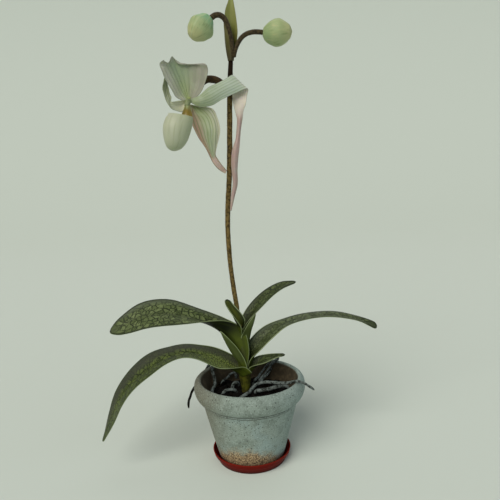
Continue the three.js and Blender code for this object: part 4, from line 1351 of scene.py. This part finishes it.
@dataclass
class Foliage:
    """The crown and the eight leaves that clasp it."""

    crown_path: Points = (
        (-4.4, 5, 64), (-4.5, 5, 78), (-4.9, 5, 92), (-5.4, 5, 108), (-6.4, 5.3, 128), (-8.2, 6, 150),
    )
    crown_radius: Sequence[float] = (4.2, 5.0, 7.0, 6.4, 4.4, 3.0)

    def leaves(self) -> list[Leaf]:
        """Lists the leaves with their shapes.

        Returns:
            The leaves.
        """
        shapes = {
            ("lower_left", Side.LEFT): dict(
                rows=130, columns=24, wave_mm=0.5, waves=3.0,
                rib=(
                    (-9.8, 2, 96), (-11.4, 2, 99), (-17.8, 1.6, 104.2), (-31, 0, 114.2), (-49, -5, 124.2),
                    (-70, -9, 129.8), (-90.8, -14, 126.4), (-109.6, -18, 117.4), (-126.2, -21, 104.6),
                    (-141, -23.5, 86.4), (-152, -25, 64.6), (-164.4, -27, 38.6),
                ),
                half=(18, 15.4, 14.8, 14.4, 17.2, 20.8, 19.5, 17.6, 14.6, 10.2, 4),
                roll=(-6, 24, 17, 13, 22, 26, 26, 26), fold=(78, 24, 16, 12, 12, 12, 10, 6),
            ),
            ("short_right", Side.RIGHT): dict(
                blunt_mm=3,
                rib=(
                    (1.5, 3, 99), (4, 3, 103.4), (10, 2, 109), (20, 1, 114.6), (30, 0, 118.6),
                    (41.5, 0, 120.4),
                ),
                half=(9, 10, 9.4, 7.2, 4.4, 2.4), roll=(0, 14, 18, 14), fold=(80, 40, 20, 10),
            ),
            ("inner_left", Side.LEFT): dict(
                rib=(
                    (-4.4, 0, 102), (-8.6, -0.4, 109), (-14.6, -1, 119), (-20.6, -1, 130),
                    (-26.4, -2, 141.5), (-30.5, -2, 151.5),
                ),
                half=(7.5, 9.6, 10.2, 9.4, 7, 3), roll=(-8, -12, -16), fold=(74, 68, 64, 60),
            ),
            ("upper_left", Side.LEFT): dict(
                rows=130, columns=24, blunt_mm=12, wave_mm=0.4, waves=3.0,
                rib=(
                    (-11, 6, 104), (-12.5, 6, 114), (-16.5, 6, 127), (-24, 6, 140), (-34, 6, 151),
                    (-46, 5, 159.2), (-61, 3, 166), (-78, 1, 171.5), (-95, -1, 174), (-114, -4, 172.4),
                    (-132, -7, 165.8), (-152.6, -9, 157.2),
                ),
                half=(12, 18.5, 23.2, 18.2, 16, 17, 19, 19.2, 17.4, 13, 7.2),
                roll=(0, -10, -14, 6, 22, 36, 42, 44, 44), fold=(84, 80, 74, 38, 14, 8, 8, 8, 6),
            ),
            ("long_right", Side.RIGHT): dict(
                rows=130, columns=20, blunt_mm=5, wave_mm=0.3, waves=4.0,
                rib=(
                    (0.8, 6, 104), (2.4, 7, 110.4), (5.8, 9, 119), (12.6, 11, 129.6), (25.4, 13, 141.8),
                    (43.6, 15, 152), (64, 17, 158), (85, 19, 159.8), (106, 21, 158), (127, 22, 153),
                    (141, 23, 147.4), (152.4, 24, 142),
                ),
                half=(7, 12.4, 12.6, 11.4, 10, 9, 9.2, 9.2, 8, 6.8, 5),
                roll=(0, 36, 32, 14, 8, 9, 8, 14, 34), fold=(60, 30, 16, 12, 12, 12, 10),
            ),
            ("inner_right", Side.RIGHT): dict(
                rib=(
                    (-1, 8, 128), (1.2, 7.4, 136), (4, 7, 146), (6.8, 6, 157), (9.6, 5, 168),
                ),
                half=(5, 12, 11, 7.6, 3), roll=(0, 0, 0), fold=(80, 70, 60),
            ),
            ("young", Side.LEFT): dict(
                blunt_mm=6,
                rib=(
                    (-8.4, 5.6, 149.4), (-9.8, 2.6, 155), (-12.8, -0.4, 165), (-17.6, -2, 176.4),
                    (-23, -2.6, 187.6),
                ),
                half=(7, 9.8, 8.4, 5.8, 4.2), roll=(20, 36, 46), fold=(74, 48, 30),
            ),
            ("upper_right", Side.RIGHT): dict(
                rows=90, columns=20,
                rib=(
                    (-3, 9, 132), (-1.4, 12, 142), (2.4, 15, 154.6), (9.2, 18, 167.4), (18.2, 21, 178.8),
                    (29, 24, 188), (42, 27, 194.8), (58.6, 29, 198.4),
                ),
                half=(8, 12, 12.4, 11.2, 9.8, 8, 5.8, 2.4), roll=(0, 20, 30, 32, 28),
                fold=(75, 45, 22, 12, 8),
            ),
        }
        made = []
        for (place, side), shape in shapes.items():
            names = {"name": f"blade_{place}", "node": f"leaf_{place}", "slot": "leaf_green"}
            flipped = side is Side.RIGHT
            made.append(Leaf(side=side, flipped=flipped, thick_mm=1.5, edge_share=0.55, **names, **shape))
        return made

    def upper_sides(self) -> dict[str, LeafFinish]:
        """Gives each leaf's upper side, which ages from plain olive to a grey-green net.

        Returns:
            A finish for each leaf's node.
        """
        def skin(age: str, **values: Any) -> LeafFinish:
            """Gives one leaf's finish, with the sheen that all the leaves share."""
            return LeafFinish(name=f"orchid leaf, {age}", roughness=0.42, ior=1.3, bump=0.25, **values)

        # Wax over living cells: a low satin sheen that leaves the dark net and the painted grey sheen plain
        # to see
        # Each bloom colour is painted sheen and shade on a leaf's far half; the oldest leaf's is dark grey
        # and reaches near the rib
        painted_far_half = {"bloom": "3c3f34", "sheen_and_shade_reach": (-0.1, -0.6), "groove_share": 0.1, "rim": "2c3a14"}
        dark = {"cell": "515d36", "shade": "37421f", "net": "161e08", "bloom": "474f3d", "foot": "39431a"}
        plain = {"net_share": 0.15, "groove": "1c2309", "sheen_and_shade_reach": (-0.2, -0.9), "edge_reach": 0.8}
        return {
            "leaf_lower_left": skin(
                "oldest", cell="5c6a33", shade="414d25", net="0d1405", foot="7a8946", tip="3c4527",
                cell_long_mm=5.6, cell_wide_mm=6.6, foot_reach=(0.4, 0.02), **painted_far_half,
            ),
            "leaf_upper_left": skin("mottled", cell="6b784b", shade="48552d", net="141c06"),
            "leaf_long_right": skin(
                "long", cell="5f6b48", shade="465130", net="1b220c", bloom="5a6452", foot="3b421d",
                tip="39432b", cell_wide_mm=6.0,
            ),
            "leaf_upper_right": skin("upper", **dark),
            "leaf_short_right": skin("short", **dark, edge_reach=0.8),
            "leaf_inner_left": skin("inner", cell="515b22", shade="414b1a", bloom="384119", **plain),
            "leaf_inner_right": skin("innermost", cell="4a5424", shade="3f4920", bloom="333c18", **plain),
            "leaf_young": skin(
                "young", cell="4f5716", shade="454d12", bloom="1f260b", foot="3f470f", **plain,
            ),
        }

    def build(self) -> None:
        """Builds the crown and the leaves."""
        # Underside of a leaf: a duller wax, olive at its foot where light comes through
        # Beyond the foot it is painted shade, nearly black, for the shade under the blade
        shaded = BladeFinish(
            name="orchid leaf, underside", ior=1.25, foot="434f14", middle="141a0a", tip="2c3620",
            stripe="2b3410", edge="7d8b60", turn=(0.17, 0.27), end=(0.5, 0.9), stripes=4.0,
            stripe_share=0.4, edge_mm=1.1,
        )
        # A lit copy for the inner leaves, which face the window: painted light keeps that side olive all
        # along
        lit = replace(shaded, name="orchid leaf, underside in light", middle="3e4920", tip="4a5630")
        # Edge of a leaf: thin clear tissue, a pale line at the foot that fades into the green
        margin = BladeFinish(
            name="orchid leaf, edge", ior=1.4, foot="8f9d72", middle="39452a", tip="39452a",
            stripe="39452a", edge="6a7850", turn=(0.28, 0.42), stripe_share=0.0,
        ).build()
        uppers = {name: finish.build() for name, finish in self.upper_sides().items()}
        under, back = shaded.build(), lit.build()
        backs = {"leaf_inner_left": back, "leaf_inner_right": back}
        for leaf in self.leaves():
            leaf.build([uppers[leaf.node], backs.get(leaf.node, under), margin])
        # Clasping leaf bases: smooth wax over brown and yellow-olive sheaths
        skin = StemFinish(
            name="orchid shoot, clasping leaf bases", roughness=0.55, ior=1.3, main="505216",
            patch="2b2d0d", low_colour="37300f", high_colour="3c4418", low=(0.082, 0.074),
            high=(0.096, 0.104), patch_mm=7.0, fibre_mm=1.2,
        )
        crown = Rod("shoot", "crown", "crown_green", self.crown_path, self.crown_radius, sides=28)
        crown.build(skin.build())


# Flower stem and buds


def down_finish() -> StemFinish:
    """Gives the short down's skin: dry brown hairs that blur the outline of the stems."""
    return StemFinish(name="plant hair, dry brown", roughness=0.9, ior=1.3, main="4e4024", patch="33280f")


@dataclass
class Spike:
    """The tall stem, its two bracts, and the two closed buds on their stalks."""

    stem_path: Points = (
        (-8.3, 6.1, 150.4), (-10.4, 6, 170), (-12.2, 5.8, 186), (-14, 5.6, 201), (-16, 5.4, 222),
        (-17.3, 5, 250), (-17.3, 5, 272), (-15.9, 5, 295), (-13.7, 5, 318), (-12, 5, 345), (-10.8, 5, 373),
        (-9.4, 5, 404), (-7.8, 5, 430), (-6.2, 4.8, 450), (-5.4, 4.6, 466),
    )
    stem_radius: Sequence[float] = (2.7, 2.6, 2.6, 2.8, 2.9, 2.9, 2.8, 2.0)

    def stalk_finish(self) -> StemFinish:
        """Gives the stalks' skin: dark purple-brown with short down."""
        # Stalk of a bud: dark and matt under its down
        return StemFinish(
            name="bud stalk, purple-brown", roughness=0.8, ior=1.3, sheen=0.1, main="4a3f26",
            patch="241c10", low_colour="3a3018", low=(0.455, 0.445), patch_mm=2.0,
        )

    def build(self) -> None:
        """Builds the stem, the bracts and the buds."""
        # Flower stem: fibrous and matt, brown flecks over green, nearly black near its top
        stem = StemFinish(
            name="flower stem, brown over green", roughness=0.8, ior=1.2, main="74623a", patch="3a2f1a",
            low_colour="5f562c", high_colour="1e1409", low=(0.20, 0.16), high=(0.402, 0.411), fibre_mm=0.7,
            bump=0.4,
        )
        skin, stalk, down = stem.build(), self.stalk_finish().build(), down_finish().build()
        tall = Rod(
            "flower_stem_skin", "flower_stem", "stem_brown", self.stem_path, self.stem_radius, rings=180,
            ridge=0.06, lump_mm=0.25,
        )
        tall.build(skin)
        tall.down(down)
        left = (
            (-5.4, 3.4, 446), (-4.9, 1.2, 455), (-5.4, -0.4, 464), (-7.2, -1.4, 473), (-9.2, -2, 480.4),
            (-12.4, -2.4, 485.8), (-16.6, -3, 488.2), (-21, -3.4, 487.8), (-25.8, -3.8, 484.6),
        )
        right = (
            (-3.4, 3.2, 447), (-1.6, 2.4, 454), (1.4, 1.6, 460.4), (6, 0.8, 466.4), (12, 0.4, 470),
            (19, 0.2, 471.2), (27, 0.2, 470.6), (29.6, 0.1, 470.2),
        )
        stalks = {"left": (left, (2, 2.5, 2.6, 2.8, 3)), "right": (right, (2.3, 2.4, 2.5, 2.6))}
        for name, (path, radius) in stalks.items():
            rod = Rod(f"{name}_stalk", f"bud_{name}_stalk", "stem_brown", path, radius, rings=80)
            rod.build(stalk)
            rod.down(down)
        self.bracts()
        self.buds()

    def bracts(self) -> None:
        """Builds the two sheathing bracts."""
        # Bract: a thin leaf that lets light through, so it looks yellower than the leaves
        tip = BladeFinish(
            name="bract, olive yellow", subsurface=0.1, foot="5a5220", middle="7b7f3c", tip="8c9450",
            stripe="5c5f2c", edge="67602c", turn=(0.05, 0.55), edge_mm=0.7,
        ).build()
        # Sheathing bract in the shade of the other one: browner and duller
        dark = BladeFinish(
            name="bract, brown olive", roughness=0.55, foot="3d3418", middle="54501f", tip="4a4520",
            stripe="38310f", edge="33290f", edge_mm=0.8,
        ).build()
        common = dict(slot="bract_green", thick_mm=1.0, rows=70, columns=18, pleat_mm=0.12, pleats=7.0)
        RowSheet(
            name="bract_left_sheath", node="bract_left", points=(
                ((-9.6, 5, 444), (-6.6, 0.8, 443.6), (-3.4, 5, 444)),
                ((-11.2, 5, 455), (-7, -0.2, 455), (-2.8, 4, 455)),
                ((-12, 4, 466), (-9.6, -1.6, 465), (-4.4, -1.6, 465)),
                ((-12, 1.6, 476), (-11.6, -1.8, 475.6), (-9.4, -3.4, 474.6)),
                ((-12.2, -0.2, 482), (-12, -1.4, 482), (-11.6, -2.4, 481.8)),
            ), **common,
        ).build([dark])
        RowSheet(
            name="bract_tip_blade", node="bract_tip", points=(
                ((-8.6, 6.4, 450), (-5.6, 8.2, 449.6), (-2.6, 5.4, 450)),
                ((-9.6, 5, 461), (-4.6, 8.2, 461), (0, 4, 461)),
                ((-10.6, 3.4, 472), (-4.8, 7.2, 472), (1.7, 3.2, 472)),
                ((-11.7, 2.8, 483), (-5.2, 6, 483), (1.1, 3, 484)),
                ((-10.2, 3, 495), (-5.2, 5, 495.4), (-0.3, 3, 496)),
                ((-6.4, 3.4, 505), (-4, 4.2, 505.4), (-1.8, 3.4, 505.6)),
                ((-4.4, 3.6, 516), (-3.7, 3.8, 516.4), (-3, 3.6, 516.2)),
            ), **common,
        ).build([tip])

    def buds(self) -> None:
        """Builds the two closed buds, each with three keels where its sepals meet."""
        # Thin living skin with a matt bloom: soft light, long pale streaks, no sharp highlight
        shine = {"roughness": 0.6, "subsurface": 0.1, "bump_mm": 0.5}
        cool = BudFinish("orchid bud, blue-green foot", bump=0.5, **shine)
        warm = BudFinish(
            "orchid bud, yellow-green", blue="8da272", pale="9cab7a", yellow="adb17f", dark="84955f",
            bump=0.25, **shine,
        )
        skins = {"bud_left": cool.build(), "bud_right": warm.build()}
        # The middle and the axis of each, its length, its width, and where its first keel is
        shapes = {
            "bud_left": ((-36, -6, 475.6), (-0.62, -0.22, -0.75), 30.8, 26.4, 0.79),
            "bud_right": ((43, 0, 469.4), (0.98, -0.16, 0.02), 31.4, 27.6, 0.75),
        }
        for node, (centre, axis, length, width, turn) in shapes.items():
            way = unit(np.array(axis, float))
            ends = [tuple(np.array(centre) + way * length * side / 2) for side in (-1, -0.5, 0, 0.5, 1)]
            steps = np.linspace(-1.0, 1.0, 17) ** 2
            swell = list(width / 2 * np.sqrt(1 - steps) * (1 - 0.4 * steps * (1 - steps)))
            swell[0], swell[-1] = 2.4, 0.8
            Rod(
                f"{node}_skin", node, "bud_green", ends, swell, sides=60, rings=56, lump_mm=0.8,
                ridge=0.05, turn=turn, round_mm=0.3,
            ).build(skins[node])


# Open flower


@dataclass
class Bloom:
    """The open flower. Everything in it is measured from its heart, where its parts meet."""

    # The pouch has slight creases, and its mouth leans forward
    CREASE = 0.02
    MOUTH_LEAN = math.radians(11.0)

    heart: Point = (-51.0, -25.0, 400.0)

    def from_heart(self, points: Points) -> list[Point]:
        """Moves points from the heart to their place on the plant."""
        return [tuple(a + b for a, b in zip(point, self.heart)) for point in points]

    def stalk(self) -> None:
        """Builds the arched stalk behind the flower."""
        # Flower stalk: dark downy skin that turns pale green at the flower
        finish = StemFinish(
            name="flower stalk, dark brown", roughness=0.8, ior=1.3, sheen=0.1, main="463519",
            patch="2d2216", low_colour="93a068", low=(0.412, 0.404), patch_mm=2.5,
        )
        path = (
            (41.4, 29, 8), (38, 27, 16.5), (33, 24.5, 21.5), (26, 23, 24.4), (18, 22.4, 24.6),
            (11, 21.4, 20), (5.8, 18, 12), (2, 12, 4.8), (0, 5, 1.4),
        )
        radius = (2.6, 3, 3.7, 3.9, 3.8, 3.6, 3.2)
        rod = Rod(
            "flower_stalk_skin", "flower_stalk", "stem_brown", self.from_heart(path), radius, rings=90,
            ridge=0.05, lump_mm=0.3,
        )
        rod.build(finish.build())
        rod.down(down_finish().build())

    def column(self) -> None:
        """Builds the peg in the middle of the flower and the shield in front of it."""
        # Shield of the column: thick waxy tissue with a small gloss, golden in the middle
        finish = BladeFinish(
            name="staminode, waxy golden olive", roughness=0.35, coat=0.3, subsurface=0.1, foot="8f9a68",
            middle="7d6a1e", tip="74642c", stripe="5e4a17", edge="a09a6a", near="776a28", far="57521c",
            side_share=0.6, turn=(0.25, 0.5), end=(0.8, 1.0), stripes=3.0, edge_mm=0.5,
        ).build()
        rows = (
            ((-2.2, -1, -2.4), (-0.4, -1.8, -1.8), (1.4, -1, -2.4)),
            ((-4, -5.6, -9), (-0.4, -7.6, -8.6), (3, -5.6, -9)),
            ((-5.8, -9.6, -14.4), (-0.6, -11.4, -14.4), (4.6, -9.6, -14.6)),
            ((-6.2, -12, -17.6), (-0.8, -13, -18.8), (4.8, -12, -18)),
        )
        RowSheet(
            name="staminode_shield", node="staminode", slot="staminode_olive", rows=40, columns=20,
            thick_mm=1.5, points=rows, origin=self.heart,
        ).build([finish])
        peg = self.from_heart(((0, 3.9, 0.4), (-0.4, 0, -1.6), (-1, -5, -6)))
        # Column: smooth pale green tissue, in the shade of the upper sepal
        green = StemFinish(name="column, pale green", main="868f6a", patch="6c784c", patch_mm=1.5).build()
        Rod("column_peg", "", "staminode_olive", peg, (3.2, 3, 2.2), rings=24).build(green)

    def pouch(self) -> None:
        """Builds the slipper: outer wall, rolled lip and inner wall, then the claw that holds it."""
        # Where the middle of each ring is, its half width and its half depth
        rings = (
            (-15.4, -18.4, -50.4, 0.4, 0.4),
            (-15.2, -18.4, -50, 2.4, 2.6),
            (-14.8, -18.6, -48.6, 5.4, 5.8),
            (-13.6, -19, -45.6, 8.4, 9),
            (-12.2, -19.4, -40, 11.2, 11.8),
            (-10.9, -19.6, -33.4, 12.9, 13.4),
            (-9.4, -19, -27, 13.6, 13.8),
            (-7.6, -17.6, -21, 13.2, 13),
            (-6.6, -16.4, -18.2, 12.4, 12.2),
            (-6.2, -15.6, -16.2, 12, 11.2),
            (-6.2, -15.6, -15.8, 11.3, 10.5),
            (-6.3, -15.8, -16.3, 10.8, 10),
            (-7.6, -17.6, -21, 12, 11.8),
            (-9.4, -19, -27, 12.4, 12.6),
            (-10.9, -19.6, -33.4, 11.7, 12.2),
            (-12.2, -19.4, -40, 9.8, 10.4),
            (-13.6, -19, -45, 6.4, 7),
            (-14.6, -18.6, -47.4, 0.4, 0.4),
        )
        piece, along, around = grid("pouch_slipper", 110, 56)
        knots = smooth(np.array(rings, float), along)
        angle = around * math.pi
        crease = 1 + self.CREASE * np.cos(3 * angle + 1.0)
        x = knots[:, 0] + np.cos(angle) * knots[:, 3] * crease
        y = knots[:, 1] + np.sin(angle) * knots[:, 4] * crease
        z = knots[:, 2] - np.cos(angle) * knots[:, 3] * math.sin(self.MOUTH_LEAN)
        write_points(piece, (np.stack([x, y, z], axis=1) + np.array(self.heart)) * MM)
        write_field(piece, "place", np.stack([along, around, np.ones_like(along)], axis=1))
        in_edit_mode(piece, close_seams)
        # Pouch: firm waxy wall that glows slightly, with a soft broad highlight
        finish = PouchFinish(
            name="orchid pouch, waxy cream", coat=0.05, subsurface=0.15, heart=self.heart, bump=0.2,
        ).build()
        piece.data.materials.append(finish)
        settle(piece, "pouch")
        claw = (
            ((-2.4, 1.6, -3.4), (0, 1.4, -4.4), (2.4, 1.6, -3.4)),
            ((-3, -1.4, -9), (0.4, -1.6, -9.6), (3.6, -1.6, -9)),
            ((-4.4, -4, -15.6), (-0.4, -3.8, -16), (3.4, -5, -15.6)),
            ((-5, -4.4, -20), (-1, -3.6, -20.5), (3, -5.4, -20)),
        )
        RowSheet(
            name="pouch_claw", node="", slot="pouch_cream", rows=30, columns=12, thick_mm=1.2, points=claw,
            origin=self.heart,
        ).build([finish])

    def right_petal(self) -> None:
        """Builds the long petal: a striped green ribbon that folds over and hangs as a thin mauve tail."""
        # Long petal: thin matt tissue, so both the veins and the light behind it show
        finish = BladeFinish(
            name="petal, green ribbon to mauve tail", roughness=0.55, subsurface=0.2, foot="8f9b75",
            middle="b0bcab", fold="d2c8bd", tip="ab928c", stripe="748a66", edge="8a8078", turn=(0.0, 0.3),
            fold_reach=(0.3, 0.38), end=(0.49, 0.6), stripes=7.5, stripe_reach=(0.5, 0.3), edge_mm=0.7,
        ).build()
        rows = (
            ((0.9, 3, 1.8), (1.6, 4.4, 0.4), (2, 3, -1)),
            ((11.1, 5, 5.8), (11.6, 2, -0.1), (11.6, 4, -5.8)),
            ((20.4, 9, 14), (22.2, 5, 3.9), (23.8, 7, -4.3)),
            ((29.5, 14, 19.1), (32.5, 10, 10.3), (34.6, 11, 2.1)),
            ((38.9, 18, 24), (42.8, 15, 16), (46.6, 16, 7.8)),
            ((46.3, 21, 27.9), (53.3, 20, 20.6), (60.4, 19, 13.1)),
            ((45.5, 25.4, 17.7), (52.7, 25, 12), (60.1, 23, 6.3)),
            ((44.6, 25, 4.3), (51.5, 23, 1.6), (58.5, 22, -1.8)),
            ((47.3, 23, -10.6), (51.5, 22, -11.2), (55.6, 23, -9.8)),
            ((48.5, 23, -19.9), (51.2, 20.8, -20.2), (53.8, 23, -19.1)),
            ((46.8, 23, -35.5), (48.9, 20.8, -35.7), (51.5, 23, -35.6)),
            ((42, 21, -49), (45.8, 18.6, -49.3), (49.5, 21, -49.3)),
            ((40.7, 21, -68), (43.9, 18.6, -68.1), (47.4, 21, -68.2)),
            ((41, 21.4, -85), (43.7, 19.6, -85.1), (46.2, 22, -85.2)),
            ((38.7, 22, -99.9), (40.7, 20.6, -100), (42.7, 22, -100.1)),
            ((37.1, 22, -112.9), (37.7, 21.6, -113.4), (38.4, 22, -114)),
        )
        RowSheet(
            name="petal_right_ribbon", node="petal_right", slot="petal_pale", rows=220, columns=20,
            points=rows, origin=self.heart, pleat_mm=0.12, pleats=8.0, wave_mm=0.5, waves=7.0,
        ).build([finish])

    def left_petal(self) -> None:
        """Builds the short petal, which curls forward and up beside the upper sepal."""
        # Short petal: the same tissue, paler at the foot and streaked green where it curls
        finish = BladeFinish(
            name="petal, pale base to striped ribbon", roughness=0.55, subsurface=0.2, foot="bcbca2",
            middle="aab096", tip="8f9a7e", stripe="55663f", edge="7e8570", turn=(0.0, 0.4), end=(0.5, 1.0),
            stripes=4.0, stripe_share=0.75, stripe_reach=(0.25, 0.55), edge_mm=0.7,
        ).build()
        rows = (
            ((-1, 2, 1.3), (-1.2, 3, 0), (-1.6, 1, -2.3)),
            ((-8.2, -2, 0.4), (-7.1, 0, -4.8), (-5.5, -4, -10.7)),
            ((-13.3, -5, -0.8), (-13.1, -4, -5.2), (-12.1, -7, -9.9)),
            ((-16.4, -5, -0.6), (-17.2, -6, -3.6), (-17.2, -10, -6.6)),
            ((-16.4, -1, 4), (-18.8, -5, 1.4), (-20.4, -8, -1)),
            ((-18.2, 1, 9.6), (-20.8, -2, 8.2), (-23.2, -7, 7.5)),
            ((-19.6, 3, 15.9), (-21.7, 0, 15.4), (-23.8, -5, 14.6)),
            ((-20.2, 6, 22.4), (-21.2, 3, 22.8), (-22.8, 0, 22.3)),
            ((-19.1, 11, 29.2), (-19.7, 9.6, 29.8), (-20.9, 8, 29.9)),
        )
        RowSheet(
            name="petal_left_ribbon", node="petal_left", slot="petal_pale", rows=120, columns=20,
            points=rows, origin=self.heart, pleat_mm=0.1, pleats=5.0, wave_mm=0.3,
        ).build([finish])

    def lower_sepals(self) -> None:
        """Builds the two lower sepals, which are grown into one: a ribbed blade with a pink twisted end."""
        # Lower sepals: thin tissue stretched between green ribs, blushed pink on one side
        # The twisted end is painted a near-white pink: painted light for the light that shines through it
        # where it hangs in shade
        finish = BladeFinish(
            name="lower sepals, cream with green ribs", roughness=0.55, subsurface=0.25, foot="87925f",
            middle="b9c0a0", tip="eccdc5", stripe="748550", edge="94806f", near="c6c2b0", far="cf9f90",
            side_share=0.85, turn=(0.0, 0.35), end=(0.66, 0.74), stripe_share=0.55,
            stripe_reach=(0.75, 0.45), edge_mm=0.8,
        ).build()
        rows = (
            ((0.2, 7, -2), (4.1, 8, -2.9), (8.3, 7, -4.7)),
            ((1, 5, -11.2), (10, 8, -9.7), (23.4, 11, -6.7)),
            ((1.6, 5, -20.3), (16.3, 9, -17.3), (28.5, 13, -16.3)),
            ((4.6, 6, -28.3), (18.8, 10, -26.9), (30.2, 15, -27.3)),
            ((8.6, 8, -37.4), (19.1, 12, -37), (28.5, 17, -37.4)),
            ((13.9, 12, -45.5), (20.1, 15, -46.5), (26.1, 19, -45.4)),
            ((18.2, 17, -54.8), (21.1, 19, -54.1), (23.7, 21, -53.1)),
            ((21.5, 23, -63), (24.1, 25, -61.9), (26.9, 26, -58.8)),
            ((26.7, 30, -69.1), (28.9, 31, -67.3), (31.1, 32, -65.2)),
            ((33.3, 36, -73.5), (34, 36, -71.7), (34.6, 36, -70.1)),
        )
        RowSheet(
            name="lower_sepals_blade", node="lower_sepals", slot="sepal_pale", rows=120, columns=28,
            points=rows, origin=self.heart, pleat_mm=0.45, pleats=4.0, wave_mm=0.6, waves=3.0,
        ).build([finish])

    def dorsal_sepal(self) -> None:
        """Builds the upper sepal: a ruffled fan, grey pink with green veins that spread from its foot."""
        # Upper sepal: papery tissue with fine veins that fan out and a thin dark edge
        # Its left half holds painted light and its right half painted shade, which even out the light across
        # the fan
        finish = BladeFinish(
            name="upper sepal, grey pink with green veins", roughness=0.55, subsurface=0.2, foot="8b9864",
            middle="9dab8c", tip="a29f96", stripe="7f906a", edge="6e7066", near="8b887c", far="c4c2b3",
            side_share=0.9, turn=(0.0, 0.6), end=(0.7, 1.1), stripes=24.0, stripe_share=0.24,
            stripe_reach=(1.0, 0.3), edge_mm=0.6, bump=0.35,
        ).build()
        rows = (
            ((-2.5, 4, 0.2), (-1.4, 5, 1), (-0.2, 5.6, 1.6), (1.2, 5.2, 2), (2.6, 4.6, 2.2)),
            ((-11.1, -5, 3.5), (-7.8, 4, 8), (-4, 8, 13.5), (2.4, 9.6, 12.4), (11.5, 6, 6.6)),
            ((-16.7, -10, 13.4), (-12.6, 1, 19.4), (-7.2, 9, 23.8), (3.6, 11, 24), (17.7, 8, 18.2)),
            ((-22, -13, 24.9), (-17.4, -2, 30.6), (-10.4, 7, 33.3), (3, 10.4, 34), (20.9, 9, 28.1)),
            ((-24.1, -13, 33.6), (-19, -4, 35), (-12.1, 5, 38.9), (0.6, 9, 37.6), (20.5, 9, 35.5)),
            ((-20.8, -12, 38), (-16.8, -4, 37), (-13.4, 2, 44.3), (-7, 5, 37), (16.5, 9, 38.3)),
        )
        RowSheet(
            name="dorsal_sepal_fan", node="dorsal_sepal", slot="sepal_pale", rows=80, columns=56,
            points=rows, origin=self.heart, pleat_mm=0.3, pleats=9.0, wave_mm=0.4, waves=3.0,
        ).build([finish])

    def build(self) -> None:
        """Builds the flower from its stalk to its petals."""
        self.stalk()
        self.column()
        self.pouch()
        self.right_petal()
        self.left_petal()
        self.lower_sepals()
        self.dorsal_sepal()


# Camera, floor and light


@dataclass
class Studio:
    """A pale plain floor that sweeps up behind, soft light, and the camera at the photograph's angle."""

    # Two places this near each other are one, in metres
    NEAR = 1e-4

    eye: Point = (6.2, -547.0, 317.5)
    pitch: float = 7.85
    roll: float = -2.14
    lens: float = 36.0
    floor_size: float = 6.0
    wall_at: float = 2.4
    wall_height: float = 1.9
    bend: float = 0.9
    room: float = 0.22

    def select_corner(self, floor: Object) -> None:
        """Selects the edge at the foot of the wall.

        Args:
            floor: The floor, in edit mode.
        """
        bpy.ops.mesh.select_all(action="DESELECT")
        mesh = bmesh.from_edit_mesh(floor.data)
        for edge in mesh.edges:
            off = [max(abs(v.co.y - self.wall_at), abs(v.co.z)) for v in edge.verts]
            edge.select_set(max(off) < self.NEAR)

    def camera(self) -> None:
        """Places the camera."""
        data = bpy.data.cameras.new("camera")
        data.lens, data.sensor_width = self.lens, 36.0
        data.clip_start, data.clip_end = 0.01, 50.0
        camera = bpy.data.objects.new("camera", data)
        bpy.context.collection.objects.link(camera)
        look = Matrix.Rotation(math.radians(90 - self.pitch), 4, "X")
        look = look @ Matrix.Rotation(math.radians(self.roll), 4, "Z")
        camera.matrix_world = Matrix.Translation(Vector(self.eye) * MM) @ look
        bpy.context.scene.camera = camera
        bpy.context.scene.view_settings.view_transform = "Standard"

    def floor(self) -> None:
        """Builds the floor from a plane whose far edge is raised and rounded."""
        deselect()
        middle = (0.0, self.wall_at - self.floor_size / 2, 0.0)
        bpy.ops.mesh.primitive_plane_add(size=self.floor_size, location=middle)
        floor = bpy.context.object
        floor.name = "studio_floor"
        bpy.ops.object.transform_apply(location=True, rotation=False, scale=False)
        bpy.ops.object.mode_set(mode="EDIT")
        self.select_corner(floor)
        bpy.ops.mesh.extrude_region_move(TRANSFORM_OT_translate={"value": (0.0, 0.0, self.wall_height)})
        self.select_corner(floor)
        bpy.ops.mesh.bevel(offset=self.bend, segments=32, affect="EDGES")
        bpy.ops.object.mode_set(mode="OBJECT")
        bpy.ops.object.shade_smooth()
        # Matt paint: an even tone with no highlight, so the plant's shadow stays soft
        floor.data.materials.append(FloorFinish(name="matt painted board", roughness=0.9).build())

    def light(self) -> None:
        """Lights the plant from the upper left front, as a large window does, with weak fill round it."""
        # Where each shines from, how many degrees wide it is, its power and its colour
        lamps = {
            "window": ((-0.42, -0.70, 0.62), 45.0, 2.35, "fffaf2"),
            "fill": ((0.85, -0.45, 0.30), 60.0, 0.45, "e6f0ff"),
            "skylight": ((0.10, 0.50, 0.86), 60.0, 0.6, "ffffff"),
        }
        for name, (way, spread, power, colour) in lamps.items():
            data = bpy.data.lights.new(name, "SUN")
            data.angle, data.energy, data.color = math.radians(spread), power, linear(colour)[:3]
            lamp = bpy.data.objects.new(name, data)
            bpy.context.collection.objects.link(lamp)
            lamp.rotation_euler = Vector(way).to_track_quat("Z", "Y").to_euler()
        world = bpy.data.worlds.new("room")
        world.use_nodes = True
        background = world.node_tree.nodes["Background"]
        background.inputs["Color"].default_value = linear("dfe6df")
        background.inputs["Strength"].default_value = self.room
        bpy.context.scene.world = world

    def build(self) -> None:
        """Builds the camera, the floor and the lights."""
        self.camera()
        self.floor()
        self.light()


def main() -> None:
    """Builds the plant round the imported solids."""
    logging.basicConfig(level=logging.INFO, format="%(name)s %(message)s")
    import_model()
    for assembly in (Studio(), Planter(), Roots(), Foliage(), Spike(), Bloom()):
        log.info("building %s", type(assembly).__name__)
        assembly.build()
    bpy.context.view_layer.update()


if __name__ == "__main__":
    main()
